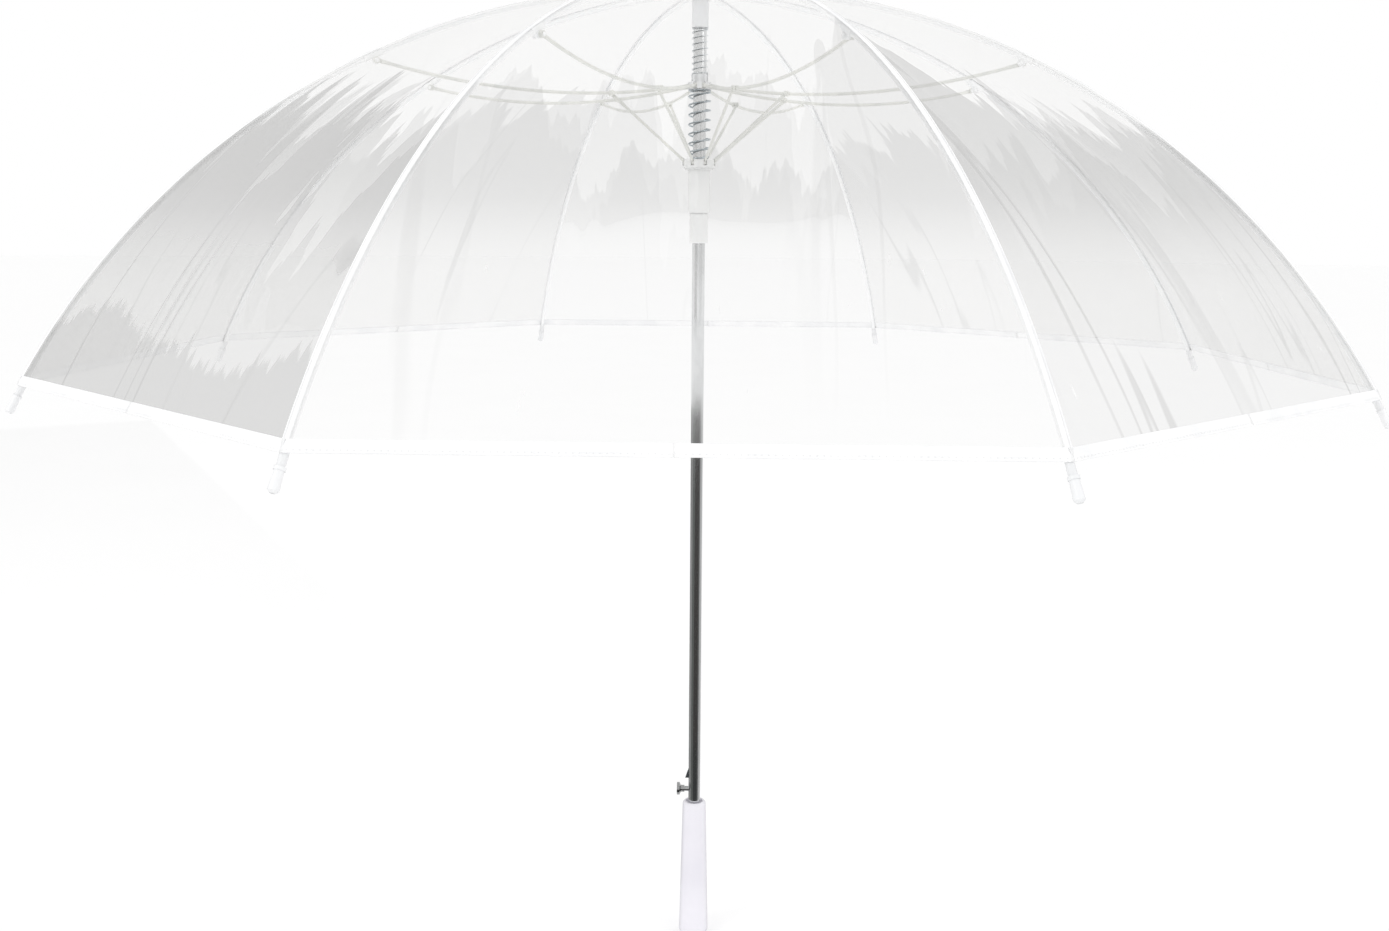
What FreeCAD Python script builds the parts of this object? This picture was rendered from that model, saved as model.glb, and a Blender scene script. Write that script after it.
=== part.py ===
import FreeCAD, Part
import math
import os
import re

import Sketcher

from FreeCAD import Placement, Rotation, Vector

# Stick umbrella with eight ribs that opens by a spring, drawn open, handle down.
# Millimetres, +Z up. The origin is on the shaft's axis, half way up the handle, where the hand holds it.
# Rib 1 points 22.5 degrees round from +X; the others follow every 45 degrees, anticlockwise from above.

RIB_COUNT = 8
GORE_ANGLE = 360.0 / RIB_COUNT
HALF_GORE = math.radians(GORE_ANGLE / 2)
FIRST_RIB = GORE_ANGLE / 2

SIZES = [
    # the canopy: its ribs lie on a ball, and the film spans straight from rib to rib
    ("canopy_radius", 482),
    ("canopy_rise", 282),
    ("rim_height", 421.5),
    ("canopy_hole", 6.6),
    ("film_thickness", 0.4),
    ("film_clearance", 1.3),
    ("seam_gap", 0.15),
    ("hem_width", 6.5),
    ("hem_thickness", 1.0),
    ("hem_overhang", 0.5),
    ("ball_radius", "=(canopy_radius ^ 2 + canopy_rise ^ 2) / (2 * canopy_rise)"),
    ("apex_height", "=rim_height + canopy_rise"),
    ("ball_centre", "=apex_height - ball_radius"),
    # the ribs and their tips
    ("rib_radius", 1.6),
    ("rib_start", 14),
    ("rib_line_radius", "=ball_radius - film_thickness / 2 - film_clearance - rib_radius"),
    ("root_arm_height", 2.4),
    ("clip_reach", 243.5),
    ("clip_drop", 3.6),
    ("clip_length", 14),
    ("clip_half_width", 2.1),
    ("clip_half_height", 2.2),
    ("ear_radius", 2.4),
    ("rivet_radius", 0.8),
    ("rivet_head_radius", 1.5),
    ("rivet_head", 0.6),
    ("tip_socket_length", 7),
    ("tip_socket_radius", 2.3),
    ("tip_collar_radius", 3.0),
    ("tip_collar_length", 2.2),
    ("tip_neck_radius", 2.5),
    ("tip_end_radius", 2.9),
    ("tip_length", 14),
    ("tip_bore_depth", 8),
    ("tip_bore_clearance", 0.05),
    # the shaft
    ("shaft_radius", 5),
    ("shaft_wall", 0.6),
    ("shaft_above_apex", 10),
    ("slide_clearance", 0.3),
    # rings of wire that the ribs, the stretchers and the links hinge on
    ("wire_radius", 0.6),
    ("wire_clearance", 0.15),
    ("blade_thickness", 2.0),
    ("blade_clearance", 0.3),
    ("eye_radius", 1.9),
    # the notch at the top of the shaft
    ("notch_ring_radius", 8),
    ("notch_flange_radius", 11),
    ("notch_flange_height", 5),
    ("notch_skirt_wall", 1.3),
    ("notch_skirt_radius", "=shaft_radius + notch_skirt_wall"),
    ("notch_top_drop", 1.2),
    ("notch_height", 26.3),
    ("notch_pivot_height",
     "=ball_centre + sqrt(rib_line_radius ^ 2 - notch_ring_radius ^ 2)"),
    # the sliding ring that the stretchers hinge on
    ("slider_ring_radius",
     "=shaft_radius + slide_clearance + eye_radius + blade_clearance"),
    ("slider_drop", 70),
    ("slider_rim", 1.4),
    ("slider_flange_radius", "=slider_ring_radius + slider_rim"),
    ("slider_flange_half", 2.6),
    ("slider_hub_wall", 1.1),
    ("slider_hub_radius", "=shaft_radius + slide_clearance + slider_hub_wall"),
    ("slider_hub_height", 8.4),
    ("slider_pivot_height", "=apex_height - slider_drop"),
    # the stretchers, each with an elbow rivet for its link
    ("stretcher_radius", 1.2),
    ("stretcher_side_step", 3.6),
    ("stretcher_eye", 2.5),
    ("elbow_reach", 70.4),
    ("elbow_drop", 78),
    ("elbow_radius", 2.0),
    ("link_radius", 1.1),
    ("link_side_step", 2.6),
    # the runner
    ("runner_ring_radius", 10.8),
    ("runner_drop", 127.2),
    ("runner_crown_radius", 13.1),
    ("runner_crown_top", 2.3),
    ("runner_crown_bottom", 3.9),
    ("runner_step_radius", 11),
    ("runner_step", 1.4),
    ("runner_sleeve_radius", 8.45),
    ("runner_sleeve_length", 40),
    ("runner_groove", 0.8),
    ("runner_tail_radius", 7),
    ("runner_length", 63),
    ("runner_pivot_height", "=apex_height - runner_drop"),
    # the springs
    ("spring_clearance", 0.3),
    ("main_spring_radius", 8.0),
    ("main_spring_wire", 0.7),
    ("main_spring_turns", 9),
    ("buffer_spring_wire", 0.45),
    ("buffer_spring_radius", "=shaft_radius + spring_clearance + buffer_spring_wire"),
    ("buffer_spring_turns", 9),
    # the cap above the film and the ferrule
    ("washer_radius", 12),
    ("washer_thickness", 1.4),
    ("washer_clearance", 0.4),
    ("ferrule_base_radius", 9),
    ("ferrule_base", 3),
    ("ferrule_waist", 12),
    ("ferrule_radius", 6.2),
    ("ferrule_pin_length", 24),
    ("ferrule_roof", 2),
    # the handle
    ("handle_length", 117),
    ("handle_top_radius", 9.6),
    ("handle_bottom_radius", 12.2),
    ("handle_bevel", 1.6),
    ("handle_end_round", 4.5),
    ("handle_recess_radius", 6.8),
    ("handle_recess", 2.2),
    ("handle_socket_depth", 95),
    # the button, the catch tooth and their spring, low on the shaft
    ("button_height", 68.8),
    ("button_head_radius", 5.2),
    ("button_waist_radius", 2.9),
    ("button_stem_radius", 2.1),
    ("button_reach", 9.4),
    ("button_head", 2.2),
    ("button_travel", 3),
    ("catch_height", 82.6),
    ("catch_half_height", 3.9),
    ("catch_reach", 2.6),
    ("catch_half_width", 1.3),
    ("catch_clearance", 0.25),
    ("carrier_thickness", 1.2),
    ("carrier_half_width", 2.2),
    ("carrier_overlap", 2.5),
    ("leaf_thickness", 0.5),
    ("leaf_half_width", 1.6),
    ("leaf_length", 34),
]

document = FreeCAD.newDocument("stick_umbrella")
sheet = document.addObject("Spreadsheet::Sheet", "Sizes")
for row, (alias, value) in enumerate(SIZES, start=1):
    sheet.set(f"A{row}", alias)
    sheet.set(f"B{row}", str(value))
    sheet.setAlias(f"B{row}", alias)
document.recompute()
ALIASES = {alias for alias, _ in SIZES}


def size(alias):
    """The value of one cell of the sheet."""
    return float(sheet.get(alias))


def bound(formula):
    """A formula in the sheet's own words, written so that an object can be bound to it."""
    return re.sub(
        r"[a-z_]+", lambda word: f"Sizes.{word[0]}" if word[0] in ALIASES else word[0], formula
    )


def worth(formula):
    """What a formula in the sheet's own words comes to."""
    return float(sheet.evalExpression(bound(formula)))


# ---- how a turned piece, a ring, a coil and a repeated piece are made ----


def plane(body, role):
    """One of a body's own origin planes or axes."""
    return next(f for f in body.Origin.OriginFeatures if f.Role == role)


def outline(body, name, points, role="XZ_Plane"):
    """A sketch of a closed outline. Each point is a pair of formulas that its place is bound to."""
    sketch = body.newObject("Sketcher::SketchObject", name)
    sketch.AttachmentSupport = [(plane(body, role), "")]
    sketch.MapMode = "FlatFace"
    places = [Vector(worth(across), worth(up), 0) for across, up in points]
    for number, start in enumerate(places):
        end = places[(number + 1) % len(places)]
        sketch.addGeometry(Part.LineSegment(start, end), False)
    for number, (across, up) in enumerate(points):
        follower = (number + 1) % len(points)
        sketch.addConstraint(Sketcher.Constraint("Coincident", number, 2, follower, 1))
        for kind, formula in (("DistanceX", across), ("DistanceY", up)):
            if formula == "0":
                axis = -2 if kind == "DistanceX" else -1
                sketch.addConstraint(Sketcher.Constraint("PointOnObject", number, 1, axis))
                continue
            datum = Sketcher.Constraint(kind, -1, 1, number, 1, worth(formula))
            label = f"{kind}_{number}"
            index = sketch.addConstraint(datum)
            sketch.renameConstraint(index, label)
            sketch.setExpression(f"Constraints.{label}", bound(formula))
    return sketch


def turned(name, points):
    """A body turned about Z from an outline of (radius, height) pairs."""
    body = document.addObject("PartDesign::Body", name)
    sketch = outline(body, f"{name}_outline", points)
    spin = body.newObject("PartDesign::Revolution", f"{name}_turned")
    spin.Profile = sketch
    spin.ReferenceAxis = (sketch, ["V_Axis"])
    spin.Angle = 360
    document.recompute()
    return body


def slotted(body, points, width):
    """Cuts a slot of an outline's shape right across one radius, then repeats it at every rib."""
    before = body.Shape.Volume
    sketch = outline(body, f"{body.Name}_slot_outline", points)
    slot = body.newObject("PartDesign::Pocket", f"{body.Name}_slot")
    slot.Profile = sketch
    slot.Midplane = True
    slot.setExpression("Length", bound(width))
    document.recompute()
    pattern = body.newObject("PartDesign::PolarPattern", f"{body.Name}_slots")
    pattern.Originals = [slot]
    pattern.Axis = (plane(body, "Z_Axis"), [""])
    pattern.Angle = 360
    pattern.Occurrences = RIB_COUNT
    body.Tip = pattern
    document.recompute()
    if body.Shape.Volume >= before:
        raise RuntimeError(f"{body.Name}: its slots cut nothing")
    body.Placement = Placement(Vector(), Rotation(Vector(0, 0, 1), FIRST_RIB))
    return body


def channel(body_shape, ring_radius, height):
    """Cuts the round channel that a ring of wire lies in."""
    groove = Part.makeTorus(
        size(ring_radius), size("wire_radius") + size("wire_clearance"), Vector(0, 0, height)
    )
    return body_shape.cut(groove)


def wire_ring(name, ring_radius, height):
    """The ring of wire itself, bound to the sheet."""
    ring = document.addObject("Part::Torus", name)
    ring.setExpression("Radius1", bound(ring_radius))
    ring.setExpression("Radius2", bound("wire_radius"))
    ring.setExpression("Placement.Base.z", bound(height))
    document.recompute()
    return ring


def coil(name, radius, wire, turns, bottom, top):
    """A compression spring between two heights, swept along a helix that is bound to the sheet."""
    helix = document.addObject("Part::Helix", f"{name}_line")
    helix.setExpression("Radius", bound(radius))
    helix.setExpression("Height", bound(f"({top}) - ({bottom}) - 2 * {wire}"))
    helix.setExpression("Pitch", bound(f"(({top}) - ({bottom}) - 2 * {wire}) / {turns}"))
    helix.setExpression("Placement.Base.z", bound(f"({bottom}) + {wire}"))
    section = document.addObject("Part::Circle", f"{name}_section")
    section.setExpression("Radius", bound(wire))
    section.Placement = Placement(Vector(), Rotation(Vector(1, 0, 0), 90))
    section.setExpression("Placement.Base.x", bound(radius))
    section.setExpression("Placement.Base.z", bound(f"({bottom}) + {wire}"))
    sweep = document.addObject("Part::Sweep", name)
    sweep.Sections = [section]
    sweep.Spine = (helix, [])
    sweep.Solid = True
    sweep.Frenet = True
    document.recompute()
    return sweep


def made(name, shape, placement=None):
    """A sub-part whose shape comes from the functions below."""
    feature = document.addObject("Part::Feature", name)
    feature.Shape = shape
    feature.Placement = placement or Placement()
    return feature


def around(number):
    """The turn about Z that carries a piece drawn along +X to rib number 1, 2, 3 and so on."""
    return Placement(Vector(), Rotation(Vector(0, 0, 1), FIRST_RIB + GORE_ANGLE * (number - 1)))


# ---- shapes drawn along +X, in the plane of one rib ----


def on_rib(reach):
    """A point of the rib's centre line at a distance from the shaft's axis, and its slope angle."""
    slope = math.asin(reach / size("rib_line_radius"))
    height = size("ball_centre") + size("rib_line_radius") * math.cos(slope)
    return Vector(reach, 0, height), slope


def disc(centre, radius, thickness):
    """A flat round blade that stands in the rib's plane."""
    half = Vector(0, thickness / 2, 0)
    return Part.makeCylinder(radius, thickness, centre - half, Vector(0, 1, 0))


def pin_hole(centre, radius, length):
    """The cutter for a hole along Y."""
    return Part.makeCylinder(radius, length, centre - Vector(0, length / 2, 0), Vector(0, 1, 0))


def rod_between(start, end, radius):
    """A straight round rod."""
    return Part.makeCylinder(radius, (end - start).Length, start, end - start)


def bent_rod(arc, radius):
    """A round rod along an arc."""
    edge = arc.toShape()
    first = edge.FirstParameter
    section = Part.Face(Part.Wire(Part.makeCircle(radius, edge.valueAt(first), edge.tangentAt(first))))
    turn = math.degrees(edge.LastParameter - first)
    return section.revolve(edge.Curve.Center, edge.Curve.Axis, turn)


def rivet(centre, low, high):
    """A rivet along Y from low to high, with a head at each end."""
    shank = Part.makeCylinder(
        size("rivet_radius"), high - low, Vector(centre.x, low, centre.z), Vector(0, 1, 0)
    )
    head = size("rivet_head")
    for bottom in (low - head, high):
        foot = Vector(centre.x, bottom, centre.z)
        shank = shank.fuse(
            Part.makeCylinder(size("rivet_head_radius"), head, foot, Vector(0, 1, 0))
        )
    return shank.removeSplitter()


def clip_pivot():
    """Where a stretcher is riveted to its rib's clip, in the rib's plane."""
    centre, slope = on_rib(size("clip_reach"))
    inward = Vector(-math.sin(slope), 0, -math.cos(slope))
    return centre + inward * size("clip_drop")


def slider_pivot():
    """Where a stretcher hinges on the sliding ring."""
    return Vector(size("slider_ring_radius"), 0, size("slider_pivot_height"))


def elbow_pivot():
    """Where a link is riveted to its stretcher."""
    return Vector(size("elbow_reach"), 0, size("apex_height") - size("elbow_drop"))


def runner_pivot():
    """Where a link hinges on the runner."""
    return Vector(size("runner_ring_radius"), 0, size("runner_pivot_height"))


def side_step_at(point):
    """How far to the side of the rib's plane a stretcher lies at a point: none at the ring, all at the clip."""
    start = slider_pivot()
    share = (point.x - start.x) / (clip_pivot().x - start.x)
    return size("stretcher_side_step") * share


def rib_solids():
    """The round rod with a flat eye at its root, the clip crimped on it, and the clip's rivet."""
    root, _ = on_rib(size("notch_ring_radius"))
    start, _ = on_rib(size("rib_start"))
    middle, _ = on_rib((size("rib_start") + size("canopy_radius")) / 2)
    end, slope = on_rib(size("canopy_radius"))
    rod = bent_rod(Part.Arc(start, middle, end), size("rib_radius"))
    tilt = math.atan2(root.z - start.z, start.x - root.x)
    arm = Part.makeBox(
        (start - root).Length + size("rib_radius"),
        size("blade_thickness"),
        size("root_arm_height"),
        Vector(0, -size("blade_thickness") / 2, -size("root_arm_height") / 2),
    )
    arm.Placement = Placement(root, Rotation(Vector(0, 1, 0), math.degrees(tilt)))
    eye = disc(root, size("eye_radius"), size("blade_thickness"))
    rod = rod.fuse([arm, eye]).removeSplitter()
    hole = size("wire_radius") + size("wire_clearance")
    rod = rod.cut(pin_hole(root, hole, 2 * size("blade_thickness")))

    centre, slope = on_rib(size("clip_reach"))
    half_long = size("clip_length") / 2
    sleeve = Part.makeBox(
        size("clip_length"),
        2 * size("clip_half_width"),
        2 * size("clip_half_height"),
        Vector(-half_long, -size("clip_half_width"), -size("clip_half_height")),
    )
    upright = [e for e in sleeve.Edges if abs(e.tangentAt(e.FirstParameter).y) > 0.9]
    sleeve = sleeve.makeFillet(size("clip_half_height") / 2, upright)
    sleeve.Placement = Placement(centre, Rotation(Vector(0, 1, 0), math.degrees(slope)))
    pivot = clip_pivot()
    ear = disc(pivot, size("ear_radius"), 2 * size("clip_half_width"))
    neck = Part.makeBox(
        2 * size("ear_radius"),
        2 * size("clip_half_width"),
        size("clip_drop"),
        Vector(-size("ear_radius"), -size("clip_half_width"), -size("clip_drop")),
    )
    neck.Placement = sleeve.Placement
    clip = sleeve.fuse([ear, neck]).removeSplitter()
    whole_rod = bent_rod(Part.Arc(start, middle, end), size("rib_radius"))
    clip = clip.cut(whole_rod)
    clip = clip.cut(pin_hole(pivot, size("rivet_radius"), 4 * size("clip_half_width")))
    low = -size("clip_half_width")
    high = size("stretcher_side_step") + size("stretcher_eye") / 2 + size("wire_clearance")
    return [rod, clip, rivet(pivot, low, high)]


def stretcher_solids():
    """The long curved rod from the sliding ring to a rib, with its three eyes, and the elbow rivet."""
    start = slider_pivot()
    elbow = elbow_pivot()
    end = clip_pivot()
    sideways = Vector(0, 1, 0)
    elbow_centre = elbow + sideways * side_step_at(elbow)
    end_centre = end + sideways * size("stretcher_side_step")
    rod = bent_rod(Part.Arc(start, elbow_centre, end_centre), size("stretcher_radius"))
    eye = size("stretcher_eye")
    rod = rod.fuse(
        [
            disc(start, size("eye_radius"), eye),
            disc(elbow_centre, size("elbow_radius"), eye),
            disc(end_centre, size("ear_radius"), eye),
        ]
    ).removeSplitter()
    wire_hole = size("wire_radius") + size("wire_clearance")
    rivet_hole = size("rivet_radius") + size("wire_clearance")
    rod = rod.cut(pin_hole(start, wire_hole, 2 * eye))
    rod = rod.cut(pin_hole(end_centre, rivet_hole, 2 * eye))
    rod = rod.cut(pin_hole(elbow_centre, size("rivet_radius"), 2 * eye))
    link_outside = size("link_side_step") + size("blade_thickness") / 2 + size("wire_clearance")
    low = elbow_centre.y - link_outside
    high = elbow_centre.y + eye / 2
    return [rod, rivet(elbow, low, high)]


def link_solids():
    """The short straight rod from the runner to the stretcher's elbow, with an eye at each end."""
    start = runner_pivot()
    elbow = elbow_pivot()
    end = elbow + Vector(0, side_step_at(elbow) - size("link_side_step"), 0)
    blade = size("blade_thickness")
    rod = rod_between(start, end, size("link_radius")).fuse(
        [disc(start, size("eye_radius"), blade), disc(end, size("elbow_radius"), blade)]
    ).removeSplitter()
    rod = rod.cut(pin_hole(start, size("wire_radius") + size("wire_clearance"), 2 * blade))
    rod = rod.cut(pin_hole(end, size("rivet_radius") + size("wire_clearance"), 2 * blade))
    return [rod]


def gore_band(thickness, inner_reach, outer_reach):
    """A band of the canopy's surface over one gore, drawn with the gore's middle along +X.

    The film is straight from rib to rib, so its section along the gore's middle is the ribs' circle
    squeezed across to an ellipse, and the band is that section drawn out sideways.
    """
    squeeze = math.cos(HALF_GORE)
    centre = Vector(0, 0, size("ball_centre"))
    edges = []
    for radius in (size("ball_radius") + thickness / 2, size("ball_radius") - thickness / 2):
        ellipse = Part.Ellipse(
            centre + Vector(0, 0, radius), centre + Vector(radius * squeeze, 0, 0), centre
        )
        low = ellipse.parameter(
            centre + Vector(inner_reach * squeeze, 0, math.sqrt(radius**2 - inner_reach**2))
        )
        high = ellipse.parameter(
            centre + Vector(outer_reach * squeeze, 0, math.sqrt(radius**2 - outer_reach**2))
        )
        edges.append(Part.ArcOfEllipse(ellipse, min(low, high), max(low, high)).toShape())
    ends = [
        sorted((e.Vertexes[0].Point, e.Vertexes[-1].Point), key=lambda p: p.x) for e in edges
    ]
    sides = [Part.LineSegment(ends[0][i], ends[1][i]).toShape() for i in (0, 1)]
    face = Part.Face(Part.Wire(Part.__sortEdges__(edges + sides)))
    width = outer_reach * math.sin(HALF_GORE) * 1.2
    face.translate(Vector(0, -width, 0))
    return face.extrude(Vector(0, 2 * width, 0))


def half_gore_wedge(side):
    """The upright wedge over half a gore, from the gore's middle to the rib on one side of it."""
    gap = size("seam_gap")
    reach = 1.2 * size("canopy_radius")
    middle = gap * side
    rib_edge = reach * math.tan(HALF_GORE) - gap / math.cos(HALF_GORE)
    inner = gap * (1 + 1 / math.cos(HALF_GORE)) / math.tan(HALF_GORE)
    corners = [
        Vector(inner, middle, 0),
        Vector(reach, middle, 0),
        Vector(reach, side * rib_edge, 0),
        Vector(inner, middle, 0),
    ]
    wedge = Part.Face(Part.makePolygon(corners)).extrude(
        Vector(0, 0, size("apex_height") + 2 * size("hem_thickness"))
    )
    return wedge


def canopy_half_solids(side):
    """Half a gore beside the rib along +X, on its left (side 1) or right (side -1): film, then hem tape."""
    film = gore_band(size("film_thickness"), size("canopy_hole"), size("canopy_radius"))
    slope = math.asin(size("canopy_radius") / size("ball_radius"))
    hem_inner = size("ball_radius") * math.sin(slope - size("hem_width") / size("ball_radius"))
    hem_outer = size("ball_radius") * math.sin(slope + size("hem_overhang") / size("ball_radius"))
    hem = gore_band(size("hem_thickness"), hem_inner, hem_outer)
    wedge = half_gore_wedge(-side)
    film = film.common(wedge)
    hem = hem.common(wedge).cut(film)
    turn = Rotation(Vector(0, 0, 1), side * GORE_ANGLE / 2)
    pieces = []
    for piece in (film, hem):
        for solid in piece.Solids:
            solid.Placement = Placement(Vector(), turn)
            pieces.append(solid)
    return pieces


# ---- the turned pieces on the shaft ----
# Heights above the grip's centre are formulas in the sheet's words, so that pieces that meet share them.

BORE = "shaft_radius + slide_clearance"
NOTCH_TOP = "apex_height - notch_top_drop"
NOTCH_BOTTOM = f"{NOTCH_TOP} - notch_height"
SLIDER_TOP = "slider_pivot_height + slider_hub_height"
SLIDER_BOTTOM = "slider_pivot_height - slider_flange_half"
RUNNER_TOP = "runner_pivot_height + runner_crown_top"
HANDLE_TOP = "handle_length / 2"
SHAFT_BOTTOM = f"{HANDLE_TOP} - handle_socket_depth"
SHAFT_TOP = "apex_height + shaft_above_apex"
WASHER_BOTTOM = "apex_height + washer_clearance"
WASHER_TOP = f"{WASHER_BOTTOM} + washer_thickness"


def shaft_tube():
    """The steel tube, with a window for the catch tooth and a hole for the button's stem."""
    tube = turned(
        "shaft_tube",
        [
            ("shaft_radius - shaft_wall", SHAFT_BOTTOM),
            ("shaft_radius", SHAFT_BOTTOM),
            ("shaft_radius", SHAFT_TOP),
            ("shaft_radius - shaft_wall", SHAFT_TOP),
        ],
    )
    before = tube.Shape.Volume
    half = "(catch_half_width + catch_clearance)"
    low = "catch_height - catch_half_height - catch_clearance"
    high = "catch_height + catch_half_height + catch_clearance"
    window_outline = outline(
        tube,
        "catch_window_outline",
        [(f"-{half}", low), (half, low), (half, high), (f"-{half}", high)],
        "YZ_Plane",
    )
    window = tube.newObject("PartDesign::Pocket", "catch_window")
    window.Profile = window_outline
    window.setExpression("Length", bound("2 * shaft_radius"))
    document.recompute()
    hole_outline = tube.newObject("Sketcher::SketchObject", "button_hole_outline")
    hole_outline.AttachmentSupport = [(plane(tube, "YZ_Plane"), "")]
    hole_outline.MapMode = "FlatFace"
    centre = Vector(0, worth("button_height"), 0)
    radius = worth("button_stem_radius + catch_clearance")
    hole_outline.addGeometry(Part.Circle(centre, Vector(0, 0, 1), radius), False)
    hole_outline.addConstraint(Sketcher.Constraint("PointOnObject", 0, 3, -2))
    for label, datum, formula in (
        ("height", ("DistanceY", -1, 1, 0, 3, centre.y), "button_height"),
        ("radius", ("Radius", 0, radius), "button_stem_radius + catch_clearance"),
    ):
        index = hole_outline.addConstraint(Sketcher.Constraint(*datum))
        hole_outline.renameConstraint(index, label)
        hole_outline.setExpression(f"Constraints.{label}", bound(formula))
    hole = tube.newObject("PartDesign::Pocket", "button_hole")
    hole.Profile = hole_outline
    hole.setExpression("Length", bound("2 * shaft_radius"))
    document.recompute()
    wall = size("shaft_wall") / 2 - size("shaft_radius")
    for pocket, height in ((window, "catch_height"), (hole, "button_height")):
        if tube.Shape.isInside(Vector(wall, 0, size(height)), 1e-3, True):
            pocket.Reversed = True
            document.recompute()
    if tube.Shape.Volume >= before:
        raise RuntimeError("shaft_tube: its window and hole cut nothing")
    return tube


def top_notch():
    """The slotted hub that the ribs hinge in, with its long skirt, and the wire they hinge on."""
    flange_bottom = f"{NOTCH_TOP} - notch_flange_height"
    hub = turned(
        "top_notch_hub",
        [
            ("shaft_radius", NOTCH_BOTTOM),
            ("notch_skirt_radius", NOTCH_BOTTOM),
            ("notch_skirt_radius", flange_bottom),
            ("notch_flange_radius", flange_bottom),
            ("notch_flange_radius", NOTCH_TOP),
            ("shaft_radius", NOTCH_TOP),
        ],
    )
    inner = "notch_ring_radius - eye_radius - blade_clearance"
    outer = "notch_flange_radius + blade_clearance"
    low = f"{flange_bottom} - blade_clearance"
    high = f"{NOTCH_TOP} + blade_clearance"
    slotted(
        hub,
        [(inner, low), (outer, low), (outer, high), (inner, high)],
        "blade_thickness + 2 * blade_clearance",
    )
    height = size("notch_pivot_height")
    ring = wire_ring("notch_wire", "notch_ring_radius", "notch_pivot_height")
    return made(
        "top_notch",
        Part.makeCompound([channel(hub.Shape, "notch_ring_radius", height), ring.Shape]),
    )


def slider_ring():
    """The ring that slides on the shaft between the two springs and carries the stretchers."""
    top_of_flange = "slider_pivot_height + slider_flange_half"
    hub = turned(
        "slider_hub",
        [
            (BORE, SLIDER_BOTTOM),
            ("slider_flange_radius", SLIDER_BOTTOM),
            ("slider_flange_radius", top_of_flange),
            ("slider_hub_radius", top_of_flange),
            ("slider_hub_radius", SLIDER_TOP),
            (BORE, SLIDER_TOP),
        ],
    )
    inner = "slider_ring_radius - eye_radius - blade_clearance / 2"
    outer = "slider_flange_radius + blade_clearance"
    low = "slider_pivot_height - eye_radius - blade_clearance"
    high = f"{SLIDER_TOP} + blade_clearance"
    slotted(
        hub,
        [(inner, low), (outer, low), (outer, high), (inner, high)],
        "stretcher_eye + 2 * blade_clearance",
    )
    height = size("slider_pivot_height")
    ring = wire_ring("slider_wire", "slider_ring_radius", "slider_pivot_height")
    return made(
        "slider_ring",
        Part.makeCompound([channel(hub.Shape, "slider_ring_radius", height), ring.Shape]),
    )


def runner():
    """The runner that the hand pulls down, with a slotted crown for the links and the wire they hinge on."""
    crown_bottom = "runner_pivot_height - runner_crown_bottom"
    step_bottom = f"{crown_bottom} - runner_step"
    sleeve_bottom = f"{RUNNER_TOP} - runner_sleeve_length"
    bottom = f"{RUNNER_TOP} - runner_length"
    body = turned(
        "runner_body",
        [
            (BORE, bottom),
            ("runner_tail_radius", bottom),
            ("runner_tail_radius", f"{sleeve_bottom} - runner_groove"),
            ("runner_tail_radius - runner_groove / 2", f"{sleeve_bottom} - runner_groove"),
            ("runner_tail_radius - runner_groove / 2", sleeve_bottom),
            ("runner_sleeve_radius", sleeve_bottom),
            ("runner_sleeve_radius", step_bottom),
            ("runner_step_radius", step_bottom),
            ("runner_step_radius", crown_bottom),
            ("runner_crown_radius", crown_bottom),
            ("runner_crown_radius", RUNNER_TOP),
            (BORE, RUNNER_TOP),
        ],
    )
    inner = "runner_ring_radius - eye_radius - blade_clearance"
    outer = "runner_crown_radius + blade_clearance"
    low = "runner_pivot_height - eye_radius - blade_clearance"
    high = f"{RUNNER_TOP} + blade_clearance"
    slotted(
        body,
        [(inner, low), (outer, low), (outer, high), (inner, high)],
        "blade_thickness + 2 * blade_clearance",
    )
    height = size("runner_pivot_height")
    ring = wire_ring("runner_wire", "runner_ring_radius", "runner_pivot_height")
    return made(
        "runner",
        Part.makeCompound([channel(body.Shape, "runner_ring_radius", height), ring.Shape]),
    )


def canopy_washer():
    """The disc above the film that holds it down."""
    return turned(
        "canopy_washer",
        [
            ("shaft_radius", WASHER_BOTTOM),
            ("washer_radius", WASHER_BOTTOM),
            ("washer_radius", f"{WASHER_TOP} - washer_thickness / 2"),
            ("washer_radius - washer_thickness", WASHER_TOP),
            ("shaft_radius", WASHER_TOP),
        ],
    )


def ferrule():
    """The plastic spike over the shaft's top end: a base, a waist and a straight round end."""
    waist = f"{WASHER_TOP} + ferrule_base"
    pin = f"{WASHER_TOP} + ferrule_waist"
    top = f"{pin} + ferrule_pin_length"
    return turned(
        "ferrule",
        [
            ("shaft_radius", WASHER_TOP),
            ("ferrule_base_radius", WASHER_TOP),
            ("ferrule_base_radius", waist),
            ("ferrule_radius", pin),
            ("ferrule_radius", top),
            ("ferrule_radius - ferrule_roof", f"{top} + ferrule_roof"),
            ("0", f"{top} + ferrule_roof"),
            ("0", SHAFT_TOP),
            ("shaft_radius", SHAFT_TOP),
        ],
    )


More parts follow.
